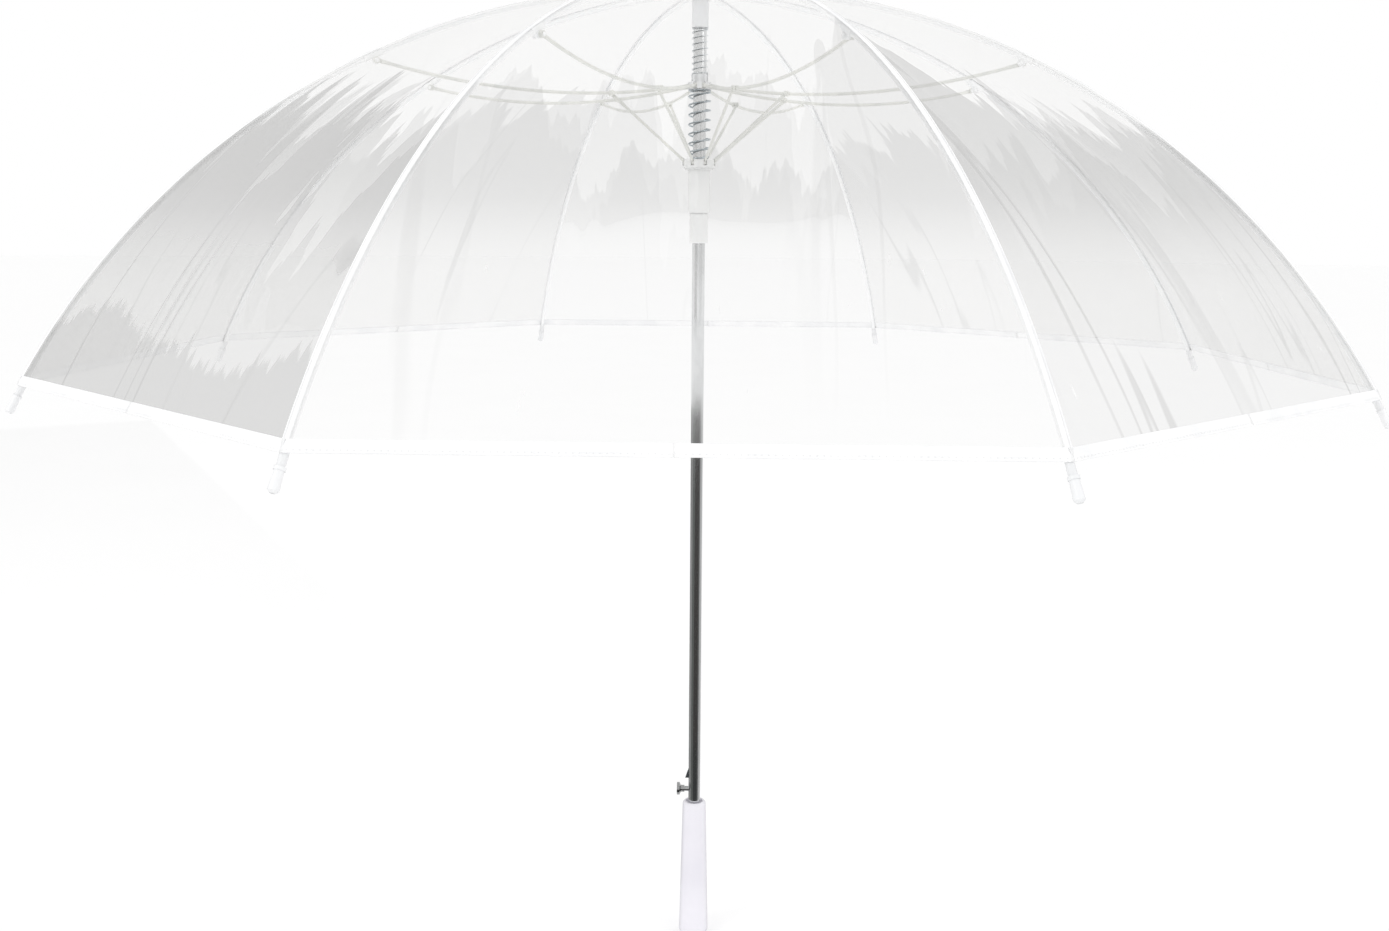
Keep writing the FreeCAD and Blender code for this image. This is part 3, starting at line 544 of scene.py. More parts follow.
class Shell:
    """A mesh gathered from grids of points, then made into one object."""

    def __init__(self) -> None:
        """Starts empty."""
        self.points: list[Array] = []
        self.quads: list[Array] = []
        self.rims: list[list[int]] = []
        self.maps: list[Array] = []
        self.count = 0

    def grid(
        self,
        points: Array,
        ring: bool = False,
        loop: bool = False,
        caps: bool = False,
        plan: Array | None = None,
    ) -> "Shell":
        """Adds a grid of points as quads, facing along (next column) x (next row).

        Args:
            points: rows x columns x 3.
            ring: whether the last column joins the first.
            loop: whether the last row joins the first.
            caps: whether the first and the last row are closed with a face each.
            plan: rows x columns x 2, the UV place of each point, or none.

        Returns:
            This shell.
        """
        rows, columns = points.shape[:2]
        index = np.arange(rows * columns).reshape(rows, columns) + self.count
        if ring:
            index = np.concatenate([index, index[:, :1]], axis=1)
        if loop:
            index = np.concatenate([index, index[:1]], axis=0)
        corners = [index[:-1, :-1], index[:-1, 1:], index[1:, 1:], index[1:, :-1]]
        self.quads.append(np.stack(corners, axis=-1).reshape(-1, 4))
        if caps:
            self.rims.append(index[0, :columns][::-1].tolist())
            self.rims.append(index[-1, :columns].tolist())
        self.points.append(points.reshape(-1, 3))
        flat = np.zeros((rows * columns, 2)) if plan is None else plan.reshape(-1, 2)
        self.maps.append(flat)
        self.count += rows * columns
        return self

    def build(
        self,
        name: str,
        material: bpy.types.Material,
        normals: Array | None = None,
        marks: dict[str, float] | None = None,
    ) -> bpy.types.Object:
        """Makes the object, smooth shaded, with its UV map.

        Args:
            name: the piece's name.
            material: its material.
            normals: a normal for each point, or none to let the faces give them.
            marks: attributes by name, each the same at every point, or none.

        Returns:
            The object, at the origin.
        """
        points = np.concatenate(self.points)
        faces = np.concatenate(self.quads).tolist() + self.rims
        mesh = bpy.data.meshes.new(name)
        mesh.from_pydata(points.tolist(), [], faces)
        mesh.polygons.foreach_set("use_smooth", np.ones(len(faces), dtype=bool))
        mesh.materials.append(material)
        corners = np.empty(len(mesh.loops), dtype=np.int32)
        mesh.loops.foreach_get("vertex_index", corners)
        layer = mesh.uv_layers.new(name="plan")
        layer.data.foreach_set("uv", np.concatenate(self.maps)[corners].astype(np.float32).ravel())
        mesh.update()
        for mark, worth in (marks or {}).items():
            attribute = mesh.attributes.new(mark, "FLOAT", "POINT")
            attribute.data.foreach_set("value", np.full(len(points), worth, dtype=np.float32))
        if normals is not None:
            mesh.normals_split_custom_set_from_vertices(normals.tolist())
        made = bpy.data.objects.new(name, mesh)
        bpy.context.scene.collection.objects.link(made)
        return made


def unit(vectors: Array) -> Array:
    """The vectors along the last axis, each scaled to length 1."""
    return vectors / np.linalg.norm(vectors, axis=-1, keepdims=True)


def turned_about_z(points: Array, angle: float) -> Array:
    """The points turned about the shaft by an angle in radians."""
    c, s = math.cos(angle), math.sin(angle)
    return points @ np.array([[c, s, 0.0], [-s, c, 0.0], [0.0, 0.0, 1.0]])


def arc_through(first: Array, middle: Array, last: Array, steps: int) -> Array:
    """Points at even turns on the circle through three points, from the first to the last.

    Args:
        first: where the arc starts.
        middle: a point it passes.
        last: where it ends.
        steps: how many points to give.

    Returns:
        steps x 3 points.
    """
    a, b = middle - first, last - first
    normal = np.cross(a, b)
    scale = 2 * normal @ normal
    centre = first + (np.cross(normal, a) * (b @ b) + np.cross(b, normal) * (a @ a)) / scale
    x = unit(first - centre)
    y = np.cross(unit(normal), x)
    radius = np.linalg.norm(first - centre)
    end = math.atan2((last - centre) @ y, (last - centre) @ x) % math.tau
    turn = np.linspace(0.0, end, steps)[:, None]
    return centre + radius * (np.cos(turn) * x + np.sin(turn) * y)


def tube(path: Array, across: Array, wide: Array, tall: Array, sides: int) -> Array:
    """A tube along a path, its section an ellipse that may change along the way.

    Each point is path + wide * cos(angle) * across + tall * sin(angle) * up, where up is the
    path's direction crossed with across.

    Args:
        path: rows x 3 points.
        across: rows x 3, or 3, the direction of the section's first axis.
        wide: rows, the half size along across.
        tall: rows, the half size along up.
        sides: how many points go round.

    Returns:
        rows x sides x 3 points.
    """
    along = unit(np.gradient(path, axis=0))
    across = np.broadcast_to(across, path.shape)
    across = unit(across - along * np.sum(across * along, axis=1, keepdims=True))
    up = np.cross(along, across)
    angle = np.linspace(0.0, math.tau, sides, endpoint=False)
    first = across[:, None] * (wide[:, None] * np.cos(angle))[..., None]
    second = up[:, None] * (tall[:, None] * np.sin(angle))[..., None]
    return path[:, None] + first + second


def lathed(centre: Array, axis: Array, profile: Array, sides: int) -> Array:
    """A profile of (radius, height) pairs turned about an axis.

    Each point is centre + height * axis + radius * (cos(angle) * x + sin(angle) * y).

    Args:
        centre: where height 0 is.
        axis: the direction heights rise in.
        profile: rows x 2.
        sides: how many points go round.

    Returns:
        rows x sides x 3 points, facing outwards where the heights rise.
    """
    axis = unit(axis)
    aside = UP if abs(axis[2]) < 0.9 else np.array([1.0, 0.0, 0.0])
    x = unit(np.cross(aside, axis))
    y = np.cross(axis, x)
    angle = np.linspace(0.0, math.tau, sides, endpoint=False)
    ring = np.cos(angle)[:, None] * x + np.sin(angle)[:, None] * y
    return centre + profile[:, 1, None, None] * axis + profile[:, 0, None, None] * ring


def rounded(corners: Array, radius: float, steps: int = 4) -> Array:
    """A closed outline with each corner rounded by a quadratic curve.

    Args:
        corners: n x 2 corner points in order.
        radius: how far from its corner each curve starts and ends.
        steps: how many points each curve has.

    Returns:
        (n * steps) x 2 points.
    """
    before = unit(np.roll(corners, 1, axis=0) - corners)
    after = unit(np.roll(corners, -1, axis=0) - corners)
    t = np.linspace(0.0, 1.0, steps)[None, :, None]
    start = (corners + radius * before)[:, None]
    end = (corners + radius * after)[:, None]
    curve = (1 - t) ** 2 * start + 2 * t * (1 - t) * corners[:, None] + t**2 * end
    return curve.reshape(-1, 2)


def washer(inner: float, outer: float, half: float, soft: float) -> Array:
    """A flat ring's rounded outline, as (radius, height) pairs going up on the outside."""
    corners = np.array([[outer, -half], [outer, half], [inner, half], [inner, -half]])
    return rounded(corners, soft)


def dome(radius: float, height: float) -> Array:
    """A rivet head's outline from its rim to its pole, a quarter of an ellipse."""
    turn = np.linspace(0.0, math.pi / 2 * 0.97, 6)
    return np.stack([radius * np.cos(turn), height * np.sin(turn)], axis=1)


def add_rivet(made: Shell, centre: Array, head: float, feet: tuple[float, float], shank: Array) -> None:
    """Adds a rivet that runs across a rib's plane: a domed head at each end and the shank.

    Args:
        made: what it is added to.
        centre: the rivet's middle.
        head: the heads' radius.
        feet: how far from the middle the near and the far head stand.
        shank: its two (radius, height) ends.
    """
    for side, foot in zip((-1.0, 1.0), feet):
        base = centre + side * foot * ACROSS
        profile = dome(head, RIVET_HEAD)
        made.grid(lathed(base, side * ACROSS, profile, 18), ring=True, caps=True)
    made.grid(lathed(centre, ACROSS, shank, 16), ring=True, caps=True)


def ripple(seed: int, across: Array, down: Array, waves: int, pace: tuple[float, float]) -> Array:
    """A smooth wandering height from -1 to 1, the mean of sines of random directions.

    Args:
        seed: which ripple; the same seed gives the same one.
        across: places across, in metres.
        down: places down, in metres.
        waves: how many sines are added.
        pace: how many waves go to a metre across and down.

    Returns:
        The height at each place.
    """
    random = np.random.default_rng(seed)
    total = np.zeros(np.broadcast(across, down).shape)
    for _ in range(waves):
        along_x = pace[0] * random.uniform(0.35, 1.0) * random.choice([-1.0, 1.0])
        along_y = pace[1] * random.uniform(-1.0, 1.0)
        phase = random.uniform(0.0, math.tau)
        total += np.sin(math.tau * (along_x * across + along_y * down) + phase)
    return total / math.sqrt(waves)


def smooth(low: float, high: float, value: Array) -> Array:
    """Rises from 0 at low to 1 at high as 3t^2 - 2t^3."""
    t = np.clip((value - low) / (high - low), 0.0, 1.0)
    return t * t * (3 - 2 * t)


# ---- the umbrella ----


def seat(piece: bpy.types.Object, body: str, node: str) -> None:
    """Sets a piece on its body in place of a CAD node.

    Args:
        piece: the piece.
        body: the body it rides.
        node: the CAD node it replaces.
    """
    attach(piece, body)
    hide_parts(node)


@dataclass
class Ball:
    """The round form the open canopy lies on; the ribs are arcs of it."""

    radius: float = 552.93 * MM
    centre: float = 150.57 * MM
    rim: float = 482 * MM
    hole: float = 6.6 * MM
    rib_depth: float = 3.1 * MM
    root_ring: float = 8 * MM
    chord_slope: float = math.radians(31.0)

    @property
    def rib_radius(self) -> float:
        """The radius of the arc that the ribs' middle lines lie on."""
        return self.radius - self.rib_depth

    def slope(self, reach: float) -> float:
        """The angle down the ball at which the film is that far from the shaft."""
        return math.asin(reach / self.radius)

    def rib_angle(self, number: int) -> float:
        """The azimuth of a rib, numbered from 1."""
        return HALF_GORE * (2 * number - 1)

    def fold_axis(self, number: int) -> tuple[float, float, float]:
        """The direction square to a rib's chord in its own plane."""
        turn = self.rib_angle(number)
        lean = math.sin(self.chord_slope)
        return (lean * math.cos(turn), lean * math.sin(turn), math.cos(self.chord_slope))

    def root(self, number: int) -> tuple[float, float, float]:
        """The pin that a rib swings on."""
        turn = self.rib_angle(number)
        ring = self.root_ring
        height = self.centre + math.sqrt(self.rib_radius**2 - ring**2)
        return (ring * math.cos(turn), ring * math.sin(turn), height)


@dataclass
class Canopy:
    """Sixteen half gores of clear film, each with its white hem and rib seam."""

    ball: Ball
    finishes: Finishes
    rows: int = 132
    columns: int = 34
    hem_width: float = 6.5 * MM
    hem_half: float = 0.5 * MM
    hem_overhang: float = 0.5 * MM
    seam_width: float = 2.3 * MM
    seam_rise: float = 0.55 * MM
    seam_start: float = 13 * MM
    seam_short: float = 0.4 * MM
    seam_sink: float = 0.06 * MM
    hem_soft: float = 0.36 * MM
    # Painted reflection: per gore, how strong the grey bands and film greyness are, set for the view from
    # the front.
    painted_reflection: tuple[float, ...] = (0.12, 0.10, 0.12, 0.28, 1.0, 0.32, 0.72, 0.30)

    def gore(self, number: int, side: Side) -> int:
        """The gore a half belongs to: gore n lies between rib n and rib n + 1."""
        return (number - 1 if side is Side.LEFT else number - 2) % RIB_COUNT

    def ripples(self, gore: int, across: Array, down: Array, share: Array) -> Array:
        """How far the film stands off its even form, in metres.

        Long soft folds run down the gore and grow towards the rim, tight creases run down beside
        the ribs, and small puckers stand along the hem. All fade out at the ribs themselves.

        Args:
            gore: the gore's number.
            across: metres across from the gore's middle.
            down: metres down from the top.
            share: how far across the half gore, 0 at the middle and 1 at the rib.

        Returns:
            The height along the outward normal.
        """
        hem = self.hem_place()
        free = 1 - smooth(0.90, 1.0, np.abs(share))
        folds = 0.75 * MM * ripple(100 + gore, across, down, 5, (9.0, 2.2)) * smooth(0.08, 0.40, down)
        beside = smooth(0.55, 0.85, np.abs(share)) * smooth(0.12, 0.30, down)
        creases = 0.30 * MM * ripple(200 + gore, across, down, 6, (46.0, 5.0)) * beside
        edge = np.exp(-((hem - down) / 0.022) ** 2)
        puckers = 0.22 * MM * ripple(300 + gore, across, down, 4, (60.0, 10.0)) * edge
        return (folds + creases + puckers) * free * smooth(0.0, 0.05, hem - down)

    def hem_place(self) -> float:
        """Metres from the top to the rim along the ball."""
        return self.ball.radius * self.ball.slope(self.ball.rim)

    def surface(self, number: int, side: Side, slope: Array, share: Array) -> tuple[Array, Array]:
        """Points of the film and their plan.

        At each height the film is straight from rib to rib. So the gore's middle is the ribs'
        circle squeezed by the cosine of half a gore, and the film stands off it by its ripples.

        Args:
            number: the rib's number.
            side: which side of the rib.
            slope: rows, the angle down the ball from the top.
            share: columns, 0 at the gore's middle and 1 at the rib.

        Returns:
            rows x columns x 3 points, and rows x columns x 2 metres across and down.
        """
        slope, share = np.meshgrid(slope, share, indexing="ij")
        reach = self.ball.radius * np.sin(slope)
        across = -side.value * share * reach * math.sin(HALF_GORE)
        down = self.ball.radius * slope
        height = self.ball.centre + self.ball.radius * np.cos(slope)
        gore = self.gore(number, side)
        lift = self.ripples(gore, across, down, share)
        outward = math.cos(HALF_GORE) * np.cos(slope)
        length = np.hypot(outward, np.sin(slope))
        x = reach * math.cos(HALF_GORE) + lift * np.sin(slope) / length
        z = height + lift * outward / length
        points = np.stack([x, across, z], axis=-1)
        middle = self.ball.rib_angle(number) + side.value * HALF_GORE
        plan = np.stack([across + 3.0 * gore, down], axis=-1)
        return turned_about_z(points, middle), plan

    def film(self, number: int, side: Side) -> bpy.types.Object:
        """One half gore's film, with normals that run on into the other half.

        Args:
            number: the rib's number.
            side: which side of the rib.

        Returns:
            The film, a single open sheet.
        """
        start, end = self.ball.slope(self.ball.hole), self.ball.slope(self.ball.rim)
        slope = np.linspace(start, end, self.rows)
        share = np.linspace(0.0, 1.0, self.columns)
        share = np.concatenate([[-share[1]], share])
        points, plan = self.surface(number, side, slope, share)
        down = np.gradient(points, axis=0)
        over = np.gradient(points, axis=1)
        normals = unit(np.cross(over, down) * -side.value)
        normals *= np.sign(normals[..., 2:3])
        shown, plan, normals = points[:, 1:], plan[:, 1:], normals[:, 1:]
        if side is Side.LEFT:
            shown, plan, normals = shown[:, ::-1], plan[:, ::-1], normals[:, ::-1]
        piece = Shell().grid(shown[::-1], plan=plan[::-1])
        name = f"film_{number}_{side.name.lower()}"
        # The gore's painted reflection strength goes on the film as an attribute.
        marks = {"painted_reflection": self.painted_reflection[self.gore(number, side)]}
        return piece.build(name, self.finishes.film, normals[::-1].reshape(-1, 3), marks)

    def frames(self, number: int, side: Side, slope: Array, share: Array) -> tuple[Array, ...]:
        """Points of the even film with its down and outward directions.

        Args:
            number: the rib's number.
            side: which side of the rib.
            slope: n angles down the ball.
            share: n places across the half gore.

        Returns:
            n x 3 points, down directions and outward directions.
        """
        reach = self.ball.radius * np.sin(slope)
        across = -side.value * share * reach * math.sin(HALF_GORE)
        height = self.ball.centre + self.ball.radius * np.cos(slope)
        points = np.stack([reach * math.cos(HALF_GORE), across, height], axis=-1)
        flat = np.zeros_like(slope)
        down = unit(np.stack([np.cos(slope) * math.cos(HALF_GORE), flat, -np.sin(slope)], axis=-1))
        out = np.stack([-down[:, 2], flat, down[:, 0]], axis=-1)
        middle = self.ball.rib_angle(number) + side.value * HALF_GORE
        return tuple(turned_about_z(a, middle) for a in (points, down, out))

    def hem(self, shell: Shell, number: int, side: Side) -> None:
        """Adds the hem: a folded tape's rounded section carried along the rim.

        Args:
            shell: what it is added to.
            number: the rib's number.
            side: which side of the rib.
        """
        count = 64
        slope = np.full(count, self.ball.slope(self.ball.rim))
        share = np.linspace(0.0, 1.0, count)
        points, down, out = self.frames(number, side, slope, share)
        low, high, half = -self.hem_width, self.hem_overhang, self.hem_half
        section = rounded(
            np.array([[low, half * 0.7], [high, half * 1.15], [high, -half * 1.15], [low, -half * 0.7]]),
            self.hem_soft,
            5,
        )
        body = points[:, None] + section[:, :1] * down[:, None] + section[:, 1:] * out[:, None]
        along = np.linalg.norm(points - points[0], axis=1)
        plan = np.stack(np.broadcast_arrays(along[:, None], high - section[None, :, 0]), axis=-1)
        if side is Side.RIGHT:
            body, plan = body[::-1], plan[::-1]
        shell.grid(body, ring=True, caps=True, plan=plan)

    def seam(self, shell: Shell, number: int, side: Side) -> None:
        """Adds half of the seam over the rib: a strip crowned towards the rib's own plane.

        Args:
            shell: what it is added to.
            number: the rib's number.
            side: which side of the rib.
        """
        count = 120
        end = self.ball.slope(self.ball.rim) - self.seam_short / self.ball.radius
        slope = np.linspace(self.ball.slope(self.seam_start), end, count)
        reach = self.ball.radius * np.sin(slope)
        half = reach * math.sin(HALF_GORE)
        width = self.seam_width * (0.62 + 0.38 * smooth(0.02, 0.16, reach))
        turn = self.ball.rib_angle(number)
        rib_out = turned_about_z(
            np.stack([np.sin(slope), np.zeros(count), np.cos(slope)], axis=-1), turn
        )
        rows = []
        for place, rise in ((0.0, 1.0), (0.3, 0.93), (0.6, 0.70), (0.86, 0.40), (1.0, 0.16), (1.0, -0.1)):
            points, _, out = self.frames(number, side, slope, 1 - place * width / half)
            lean = unit(rib_out * (1 - place) + out * place)
            rows.append(points + lean * (self.seam_rise * rise))
        floor = [self.frames(number, side, slope, np.ones(count))[0] - rib_out * self.seam_sink]
        body = np.stack(rows + floor, axis=1)
        across = np.array([0.0, 0.3, 0.6, 0.86, 1.0, 1.0, 0.0]) * self.seam_width + 0.02
        down = self.ball.radius * slope
        plan = np.stack(np.broadcast_arrays(down[:, None], across[None, :]), axis=-1)
        if side is Side.LEFT:
            body, plan = body[::-1], plan[::-1]
        shell.grid(body, ring=True, caps=True, plan=plan)

    def flat_area(self) -> tuple[float, float, float]:
        """The half gore's cut: its width at the rim, its length and its area, in metres."""
        start, end = self.ball.slope(self.ball.hole), self.ball.slope(self.ball.rim)
        slope = np.linspace(start, end, 400)
        reach = self.ball.radius * np.sin(slope)
        x = reach * math.cos(HALF_GORE)
        z = self.ball.radius * np.cos(slope)
        steps = np.hypot(np.diff(x), np.diff(z))
        half = reach * math.sin(HALF_GORE)
        return float(half[-1]), float(steps.sum()), float((steps * (half[1:] + half[:-1]) / 2).sum())

    def build(self) -> None:
        """Builds every half gore and its trim and sets them on their folding bodies."""
        width, length, area = self.flat_area()
        for number in range(1, RIB_COUNT + 1):
            for side in Side:
                word = side.name.lower()
                body = f"fold_{number}_{word}"
                film = self.film(number, side)
                shell = Shell()
                self.hem(shell, number, side)
                self.seam(shell, number, side)
                trim = shell.build(f"trim_{number}_{word}", self.finishes.tape)
                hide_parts(f"canopy_{number}_{word}")
                for piece in (film, trim):
                    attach(piece, body)
                    self.ball.fold_axis(number)
                    self.ball.root(number)
                    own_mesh(piece)
        log.info("canopy: %d half gores of %.4f m2 with hems and seams", 2 * RIB_COUNT, area)


@dataclass
class Ribs:
    """Eight white rods with a flat eye at the root and a crimped clip with its rivet."""

    ball: Ball
    finishes: Finishes
    rod: float = 1.6 * MM
    blade: float = 1.0 * MM
    eye: float = 1.9 * MM
    flat_until: float = 14 * MM
    taper: float = 8 * MM
    clip_reach: float = 243.5 * MM
    clip_drop: float = 3.6 * MM
    clip_half: float = 7 * MM
    clip_wide: float = 2.1 * MM
    clip_tall: float = 2.2 * MM
    ear: float = 2.4 * MM
    rivet: float = 1.5 * MM
    rivet_play: float = 0.15 * MM
    stretcher_step: float = 3.6 * MM

    def at(self, reach: Array) -> Array:
        """Points on the rib line in the plane y = 0."""
        height = self.ball.centre + np.sqrt(self.ball.rib_radius**2 - reach**2)
        return np.stack([reach, np.zeros_like(reach), height], axis=-1)

    def pivot(self) -> Array:
        """The clip's rivet in the plane y = 0."""
        slope = math.asin(self.clip_reach / self.ball.rib_radius)
        centre = self.at(np.array([self.clip_reach]))[0]
        return centre - self.clip_drop * np.array([math.sin(slope), 0.0, math.cos(slope)])

    def shell(self) -> Shell:
        """One rib in the plane y = 0: the rod flattens evenly into its root eye."""
        made = Shell()
        radius = self.ball.rib_radius
        start = math.asin(self.ball.root_ring / radius)
        reach = radius * np.sin(np.linspace(start, math.asin(self.ball.rim / radius), 150))
        path = self.at(reach)
        free = smooth(self.flat_until, self.flat_until + self.taper, reach)
        wide = self.blade + (self.rod - self.blade) * free
        tall = EYE_HALF + (self.rod - EYE_HALF) * free
        made.grid(tube(path[1:], ACROSS, wide[1:], tall[1:], ROD_SIDES), ring=True, caps=True)
        ring = washer(EYE_HOLE, self.eye, self.blade, EYE_SOFT)
        made.grid(lathed(path[0], ACROSS, ring, EYE_SIDES), ring=True, loop=True)
        self.clip(made)
        return made

    def clip(self, made: Shell) -> None:
        """Adds the crimped sleeve, its hanging ear and the rivet's two heads."""
        slope = math.asin(self.clip_reach / self.ball.rib_radius)
        centre = self.at(np.array([self.clip_reach]))[0]
        along = np.array([math.cos(slope), 0.0, -math.sin(slope)])
        up = np.array([math.sin(slope), 0.0, math.cos(slope)])
        place = self.clip_half * np.array([-1.0, -0.97, -0.85, -0.3, -0.22, 0.22, 0.3, 0.85, 0.97, 1.0])
        pinch = np.array([0.84, 0.95, 1.0, 1.0, 0.93, 0.93, 1.0, 1.0, 0.95, 0.84])
        corners = np.array([[-1.0, -1.0], [1.0, -1.0], [1.0, 1.0], [-1.0, 1.0]])
        section = rounded(corners, 0.55, 5)
        flat = section[None, :, :1] * pinch[:, None, None] * self.clip_wide * ACROSS
        high = section[None, :, 1:] * pinch[:, None, None] * self.clip_tall * up
        body = centre + place[:, None, None] * along + flat + high
        made.grid(body[:, ::-1], ring=True, caps=True)
        pivot = self.pivot()
        disc = np.array([[self.ear, -self.clip_wide], [self.ear, self.clip_wide]])
        made.grid(lathed(pivot, ACROSS, disc, 28), ring=True, caps=True)
        far = self.stretcher_step + EYE_HALF + self.rivet_play
        shank = np.array([[RIVET_RADIUS, 0.0], [RIVET_RADIUS, far]])
        add_rivet(made, pivot, self.rivet, (self.clip_wide, far), shank)

    def build(self) -> None:
        """Builds the eight ribs and sets them on their bodies."""
        for number in range(1, RIB_COUNT + 1):
            made = self.shell()
            made.points = [turned_about_z(p, self.ball.rib_angle(number)) for p in made.points]
            piece = made.build(f"rib_rod_{number}", self.finishes.rib)
            seat(piece, f"rib_{number}", f"rib_{number}")
            self.ball.fold_axis(number)
            self.ball.root(number)
            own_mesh(piece)
        log.info("ribs: %d", RIB_COUNT)


@dataclass
class Struts:
    """The eight long bowed stretchers and the eight short links that spread them."""

    ball: Ball
    ribs: Ribs
    finishes: Finishes
    slider_ring: float = 7.5 * MM
    slider_height: float = 633.5 * MM
    runner_ring: float = 10.8 * MM
    runner_height: float = 576.3 * MM
    elbow_reach: float = 70.4 * MM
    elbow_height: float = 625.5 * MM
    side_step: float = 3.6 * MM
    link_step: float = 2.6 * MM
    stretcher: float = 1.2 * MM
    link: float = 1.1 * MM
    eye: float = 1.9 * MM
    elbow_eye: float = 2.0 * MM
    clip_eye: float = 2.4 * MM
    link_half: float = 1.0 * MM
    elbow_rivet: float = 1.4 * MM
    rivet_play: float = 0.15 * MM

    def side_at(self, reach: float) -> float:
        """How far to the side of the rib's plane a stretcher lies at a reach."""
        end = self.ribs.pivot()[0]
        return self.side_step * (reach - self.slider_ring) / (end - self.slider_ring)

    def rod(self, path: Array, radius: float, eyes: list[tuple[Array, float, float]]) -> Shell:
        """A rod whose ends are flattened and pierced.

        Args:
            path: the rod's points.
            radius: its radius.
            eyes: for each eye its centre, its radius and half its thickness.

        Returns:
            The rod and its eyes.
        """
        made = Shell()
        length = np.concatenate([[0.0], np.cumsum(np.linalg.norm(np.diff(path, axis=0), axis=1))])
        near = np.minimum(length, length[-1] - length)
        free = smooth(2 * MM, 11 * MM, near)
        wide = radius * (0.72 + 0.28 * free)
        tall = radius * (1.30 - 0.30 * free)
        made.grid(tube(path, ACROSS, wide, tall, ROD_SIDES)[1:-1], ring=True, caps=True)
        for centre, outer, half in eyes:
            ring = washer(EYE_HOLE, outer, half, EYE_SOFT)
            made.grid(lathed(centre, ACROSS, ring, EYE_SIDES), ring=True, loop=True)
        return made

    def stretcher_shell(self) -> Shell:
        """One stretcher in the plane y = 0, with the elbow's rivet."""
        start = np.array([self.slider_ring, 0.0, self.slider_height])
        elbow = np.array([self.elbow_reach, self.side_at(self.elbow_reach), self.elbow_height])
        end = self.ribs.pivot() + self.side_step * ACROSS
        path = arc_through(start, elbow, end, 110)
        places = ((start, self.eye), (elbow, self.elbow_eye), (end, self.clip_eye))
        made = self.rod(path, self.stretcher, [(place, outer, EYE_HALF) for place, outer in places])
        near = self.link_step + self.link_half + self.rivet_play
        shank = np.array([[RIVET_RADIUS, -near], [RIVET_RADIUS, 0.0]])
        add_rivet(made, elbow, self.elbow_rivet, (near, EYE_HALF), shank)
        return made

    def link_shell(self) -> Shell:
        """One link in the plane y = 0."""
        start = np.array([self.runner_ring, 0.0, self.runner_height])
        aside = self.side_at(self.elbow_reach) - self.link_step
        end = np.array([self.elbow_reach, aside, self.elbow_height])
        path = start + np.linspace(0.0, 1.0, 40)[:, None] * (end - start)
        eyes = [(start, self.eye, self.link_half), (end, self.elbow_eye, self.link_half)]
        return self.rod(path, self.link, eyes)

    def build(self) -> None:
        """Builds the struts and sets them on their bodies."""
        end = self.ribs.pivot()
        for number in range(1, RIB_COUNT + 1):
            turn = self.ball.rib_angle(number)
            for word, made in (("stretcher", self.stretcher_shell()), ("link", self.link_shell())):
                made.points = [turned_about_z(p, turn) for p in made.points]
                piece = made.build(f"{word}_rod_{number}", self.finishes.strut)
                seat(piece, f"{word}_{number}", f"{word}_{number}")
                if word == "stretcher":
                    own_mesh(piece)
        log.info("struts: %d stretchers and %d links", RIB_COUNT, RIB_COUNT)


@dataclass
class Springs:
    """The long opening spring under the sliding ring and the short one over it."""

    finishes: Finishes
    turns: int = 9
    steps: int = 40
    opening_span: tuple[float, float] = (578.9 * MM, 630.6 * MM)
    opening_radii: tuple[float, float] = (6.15 * MM, 8.0 * MM)
    opening_wire: float = 0.7 * MM
    slider_foot: float = 630.9 * MM
    cushion_span: tuple[float, float] = (642.2 * MM, 675.7 * MM)
    cushion_radius: float = 5.75 * MM
    cushion_wire: float = 0.45 * MM

    def coil(self, low: float, high: float, radii: tuple[float, float], wire: float) -> Shell:
        """A helix whose first and last turns lie flat.

        The height follows the turn, except that near each end it lingers, and the coil's radius
        goes evenly from the bottom one to the top one.

        Args:
            low: the bottom of the coil.
            high: the top of the coil.
            radii: the coil's radius at the bottom and at the top.
            wire: the wire's radius.

        Returns:
            The coil.
        """
        t = np.linspace(0.0, 1.0, self.turns * self.steps)
        flat = 0.75 / self.turns
        rise = np.clip((t - flat) / (1 - 2 * flat), 0.0, 1.0)
        shape = 0.82 * rise + 0.18 * smooth(0.0, 1.0, rise)
        height = low + wire + shape * (high - low - 2 * wire)
        radius = radii[0] + (radii[1] - radii[0]) * smooth(0.02, 0.2, t)
        angle = math.tau * self.turns * t
        out = np.stack([np.cos(angle), np.sin(angle), np.zeros_like(t)], axis=-1)
        path = out * radius[:, None] + height[:, None] * UP
        thick = np.full(len(t), wire)
        return Shell().grid(tube(path, out, thick, thick, 10), ring=True, caps=True)

    def build(self) -> None:
        """Builds both springs and sets them on their bodies."""
        low, high = self.opening_span
        main = self.coil(low, high, self.opening_radii, self.opening_wire)
        piece = main.build("opening_spring", self.finishes.blued)
        seat(piece, "slider", "main_spring")
        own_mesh(piece)
        low, high = self.cushion_span
        upper = self.coil(low, high, (self.cushion_radius, self.cushion_radius), self.cushion_wire)
        piece = upper.build("cushion_spring", self.finishes.bright)
        seat(piece, "frame", "buffer_spring")
        log.info("springs: 2")


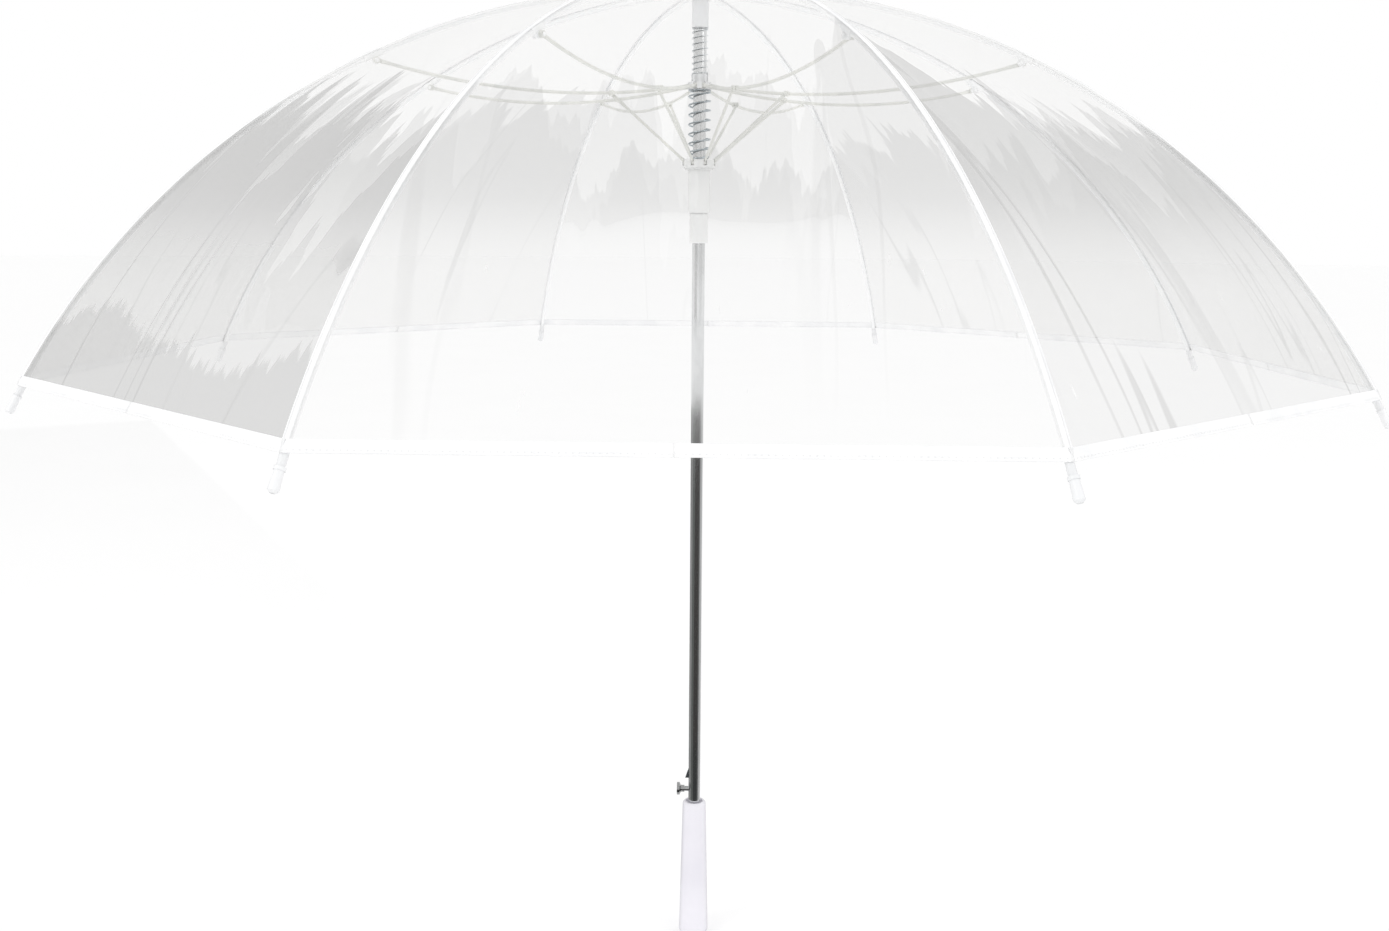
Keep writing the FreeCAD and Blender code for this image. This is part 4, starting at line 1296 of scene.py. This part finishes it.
@dataclass
class Fittings:
    """The moulded and turned pieces on the shaft, whose CAD forms are kept and dressed."""

    finishes: Finishes

    def build(self) -> None:
        """Gives every kept CAD node its finish."""
        look = self.finishes
        dress = {
            "shaft_tube": look.shaft,
            "release_button": look.button,
            "catch_tooth": look.blued,
            "catch_spring": look.bright,
            "top_notch": look.plastic,
            "slider_ring": look.plastic,
            "runner": look.runner,
            "canopy_washer": look.plastic,
            "ferrule": look.plastic,
            "handle": look.handle,
        }
        dress.update({f"rib_tip_{n}": look.plastic for n in range(1, RIB_COUNT + 1)})
        for node, material in dress.items():
            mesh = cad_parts[node].data
            mesh.materials.clear()
            mesh.materials.append(material)
        log.info("fittings: %d CAD nodes dressed", len(dress))


@dataclass
class Studio:
    """The pale floor, the soft lights and the camera."""

    floor_height: float = -58.5 * MM
    camera_place: tuple[float, float, float] = (0.0256, -1.0702, 0.5246)
    pitch: float = math.radians(9.74)
    yaw: float = math.radians(1.47)
    roll: float = math.radians(0.43)
    focal: float = 35.35
    surround: float = 0.93
    card_lift: float = 2 * MM

    def floor(self) -> None:
        """A wide round floor that the handle's end stands on."""
        turn = np.linspace(0.0, math.tau, 96, endpoint=False)
        reach = np.array([0.001, 1.0, 4.0, 30.0])
        x = reach[:, None] * np.cos(turn)
        y = reach[:, None] * np.sin(turn)
        points = np.stack([x, y, np.full_like(x, self.floor_height)], axis=-1)
        shell = Shell().grid(points[::-1], ring=True)
        shell.build("floor", PaleFloor("pale_floor").material())

    def card(
        self, name: str, reach: tuple[float, float], turn: tuple[float, float], tone: tuple[float, ...]
    ) -> None:
        """A dark card on the floor, part of a ring round the handle, that only reflections see.

        Args:
            name: its name.
            reach: its inner and outer radius.
            turn: the azimuths it starts and ends at, in degrees from the front, leftwards negative.
            tone: its colour.
        """
        angle = np.radians(np.linspace(turn[0], turn[1], 40))
        radius = np.linspace(reach[0], reach[1], 6)[:, None]
        x, y = radius * np.sin(angle), -radius * np.cos(angle)
        points = np.stack([x, y, np.full_like(x, self.floor_height + self.card_lift)], axis=-1)
        tree = NodeTree(name)
        dark = tree.finish(tree.shade({"Base Color": tone, "Roughness": 0.9}))
        made = Shell().grid(points[::-1]).build(name, dark)
        made.visible_camera = False
        made.visible_diffuse = False
        made.visible_transmission = False
        made.visible_shadow = False

    def light(
        self, name: str, place: tuple[float, float, float], size: tuple[float, float], power: float
    ) -> None:
        """A soft box that faces the middle of the umbrella.

        Args:
            name: its name.
            place: where it stands.
            size: its width and height.
            power: its power in watts.
        """
        lamp = bpy.data.lights.new(name, "AREA")
        lamp.shape = "RECTANGLE"
        lamp.size, lamp.size_y = size
        lamp.energy = power
        made = bpy.data.objects.new(name, lamp)
        made.location = place
        aim = Vector((0.0, 0.0, 0.45)) - Vector(place)
        made.rotation_euler = aim.to_track_quat("-Z", "Y").to_euler()
        bpy.context.scene.collection.objects.link(made)

    def world(self) -> None:
        """An even surround: white where it is seen, a little dimmer as light."""
        world = bpy.data.worlds.new("studio")
        bpy.context.scene.world = world
        world.use_nodes = True
        tree = world.node_tree
        back = tree.nodes["Background"]
        back.inputs["Color"].default_value = (1.0, 1.0, 1.0, 1.0)
        seen = tree.nodes.new("ShaderNodeLightPath").outputs["Is Camera Ray"]
        level = tree.nodes.new("ShaderNodeMapRange")
        level.inputs["To Min"].default_value = self.surround
        level.inputs["To Max"].default_value = 1.0
        tree.links.new(seen, level.inputs["Value"])
        tree.links.new(level.outputs[0], back.inputs["Strength"])
        bpy.context.scene.view_settings.view_transform = "Standard"

    def camera(self) -> None:
        """The camera: a little above the rim's height, looking slightly down."""
        data = bpy.data.cameras.new("camera")
        data.sensor_width = 36.0
        data.lens = self.focal
        data.clip_start, data.clip_end = 0.01, 100.0
        made = bpy.data.objects.new("camera", data)
        turn = Matrix.Rotation(self.yaw, 4, "Z") @ Matrix.Rotation(math.pi / 2 - self.pitch, 4, "X")
        turn = turn @ Matrix.Rotation(self.roll, 4, "Z")
        made.matrix_world = Matrix.Translation(self.camera_place) @ turn
        bpy.context.scene.collection.objects.link(made)
        bpy.context.scene.camera = made

    def build(self) -> None:
        """Sets the studio up."""
        self.camera()
        self.floor()
        self.world()
        near, bend, far = 0.10, 0.42, 3.5
        self.card("dark_card_front_inner", (near, bend), (-30.0, 48.0), grey(0.015, (0.85, 1.0, 0.97)))
        self.card("dark_card_front_outer", (bend, far), (-30.0, 48.0), grey(0.02, (1.0, 0.84, 0.76)))
        self.card("dark_card_left", (near, far), (-75.0, -30.0), grey(0.09, (0.92, 1.0, 0.94)))
        self.card("grey_card_left", (near, far), (-150.0, -75.0), grey(0.26))
        self.card("dark_card_right", (near, far), (48.0, 72.0), grey(0.10, (0.98, 1.0, 1.0)))
        self.card("grey_card_right", (near, far), (72.0, 125.0), grey(0.50))
        self.light("key_left", (-1.9, -1.9, 1.9), (1.2, 1.2), 11.0)
        self.light("key_right", (2.1, -1.5, 1.6), (1.0, 1.4), 6.0)
        log.info("studio: floor, world, lights and camera")


def note_sizes() -> None:
    """Updates the view layer."""
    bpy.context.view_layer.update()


def main() -> None:
    """Builds the studio, then each sub-assembly in order."""
    logging.basicConfig(level=logging.INFO, format="%(message)s")
    Studio().build()
    finishes = Finishes()
    ball = Ball()
    ribs = Ribs(ball, finishes)
    ribs.build()
    Struts(ball, ribs, finishes).build()
    Canopy(ball, finishes).build()
    Springs(finishes).build()
    Fittings(finishes).build()
    note_sizes()


if __name__ == "__main__":
    main()
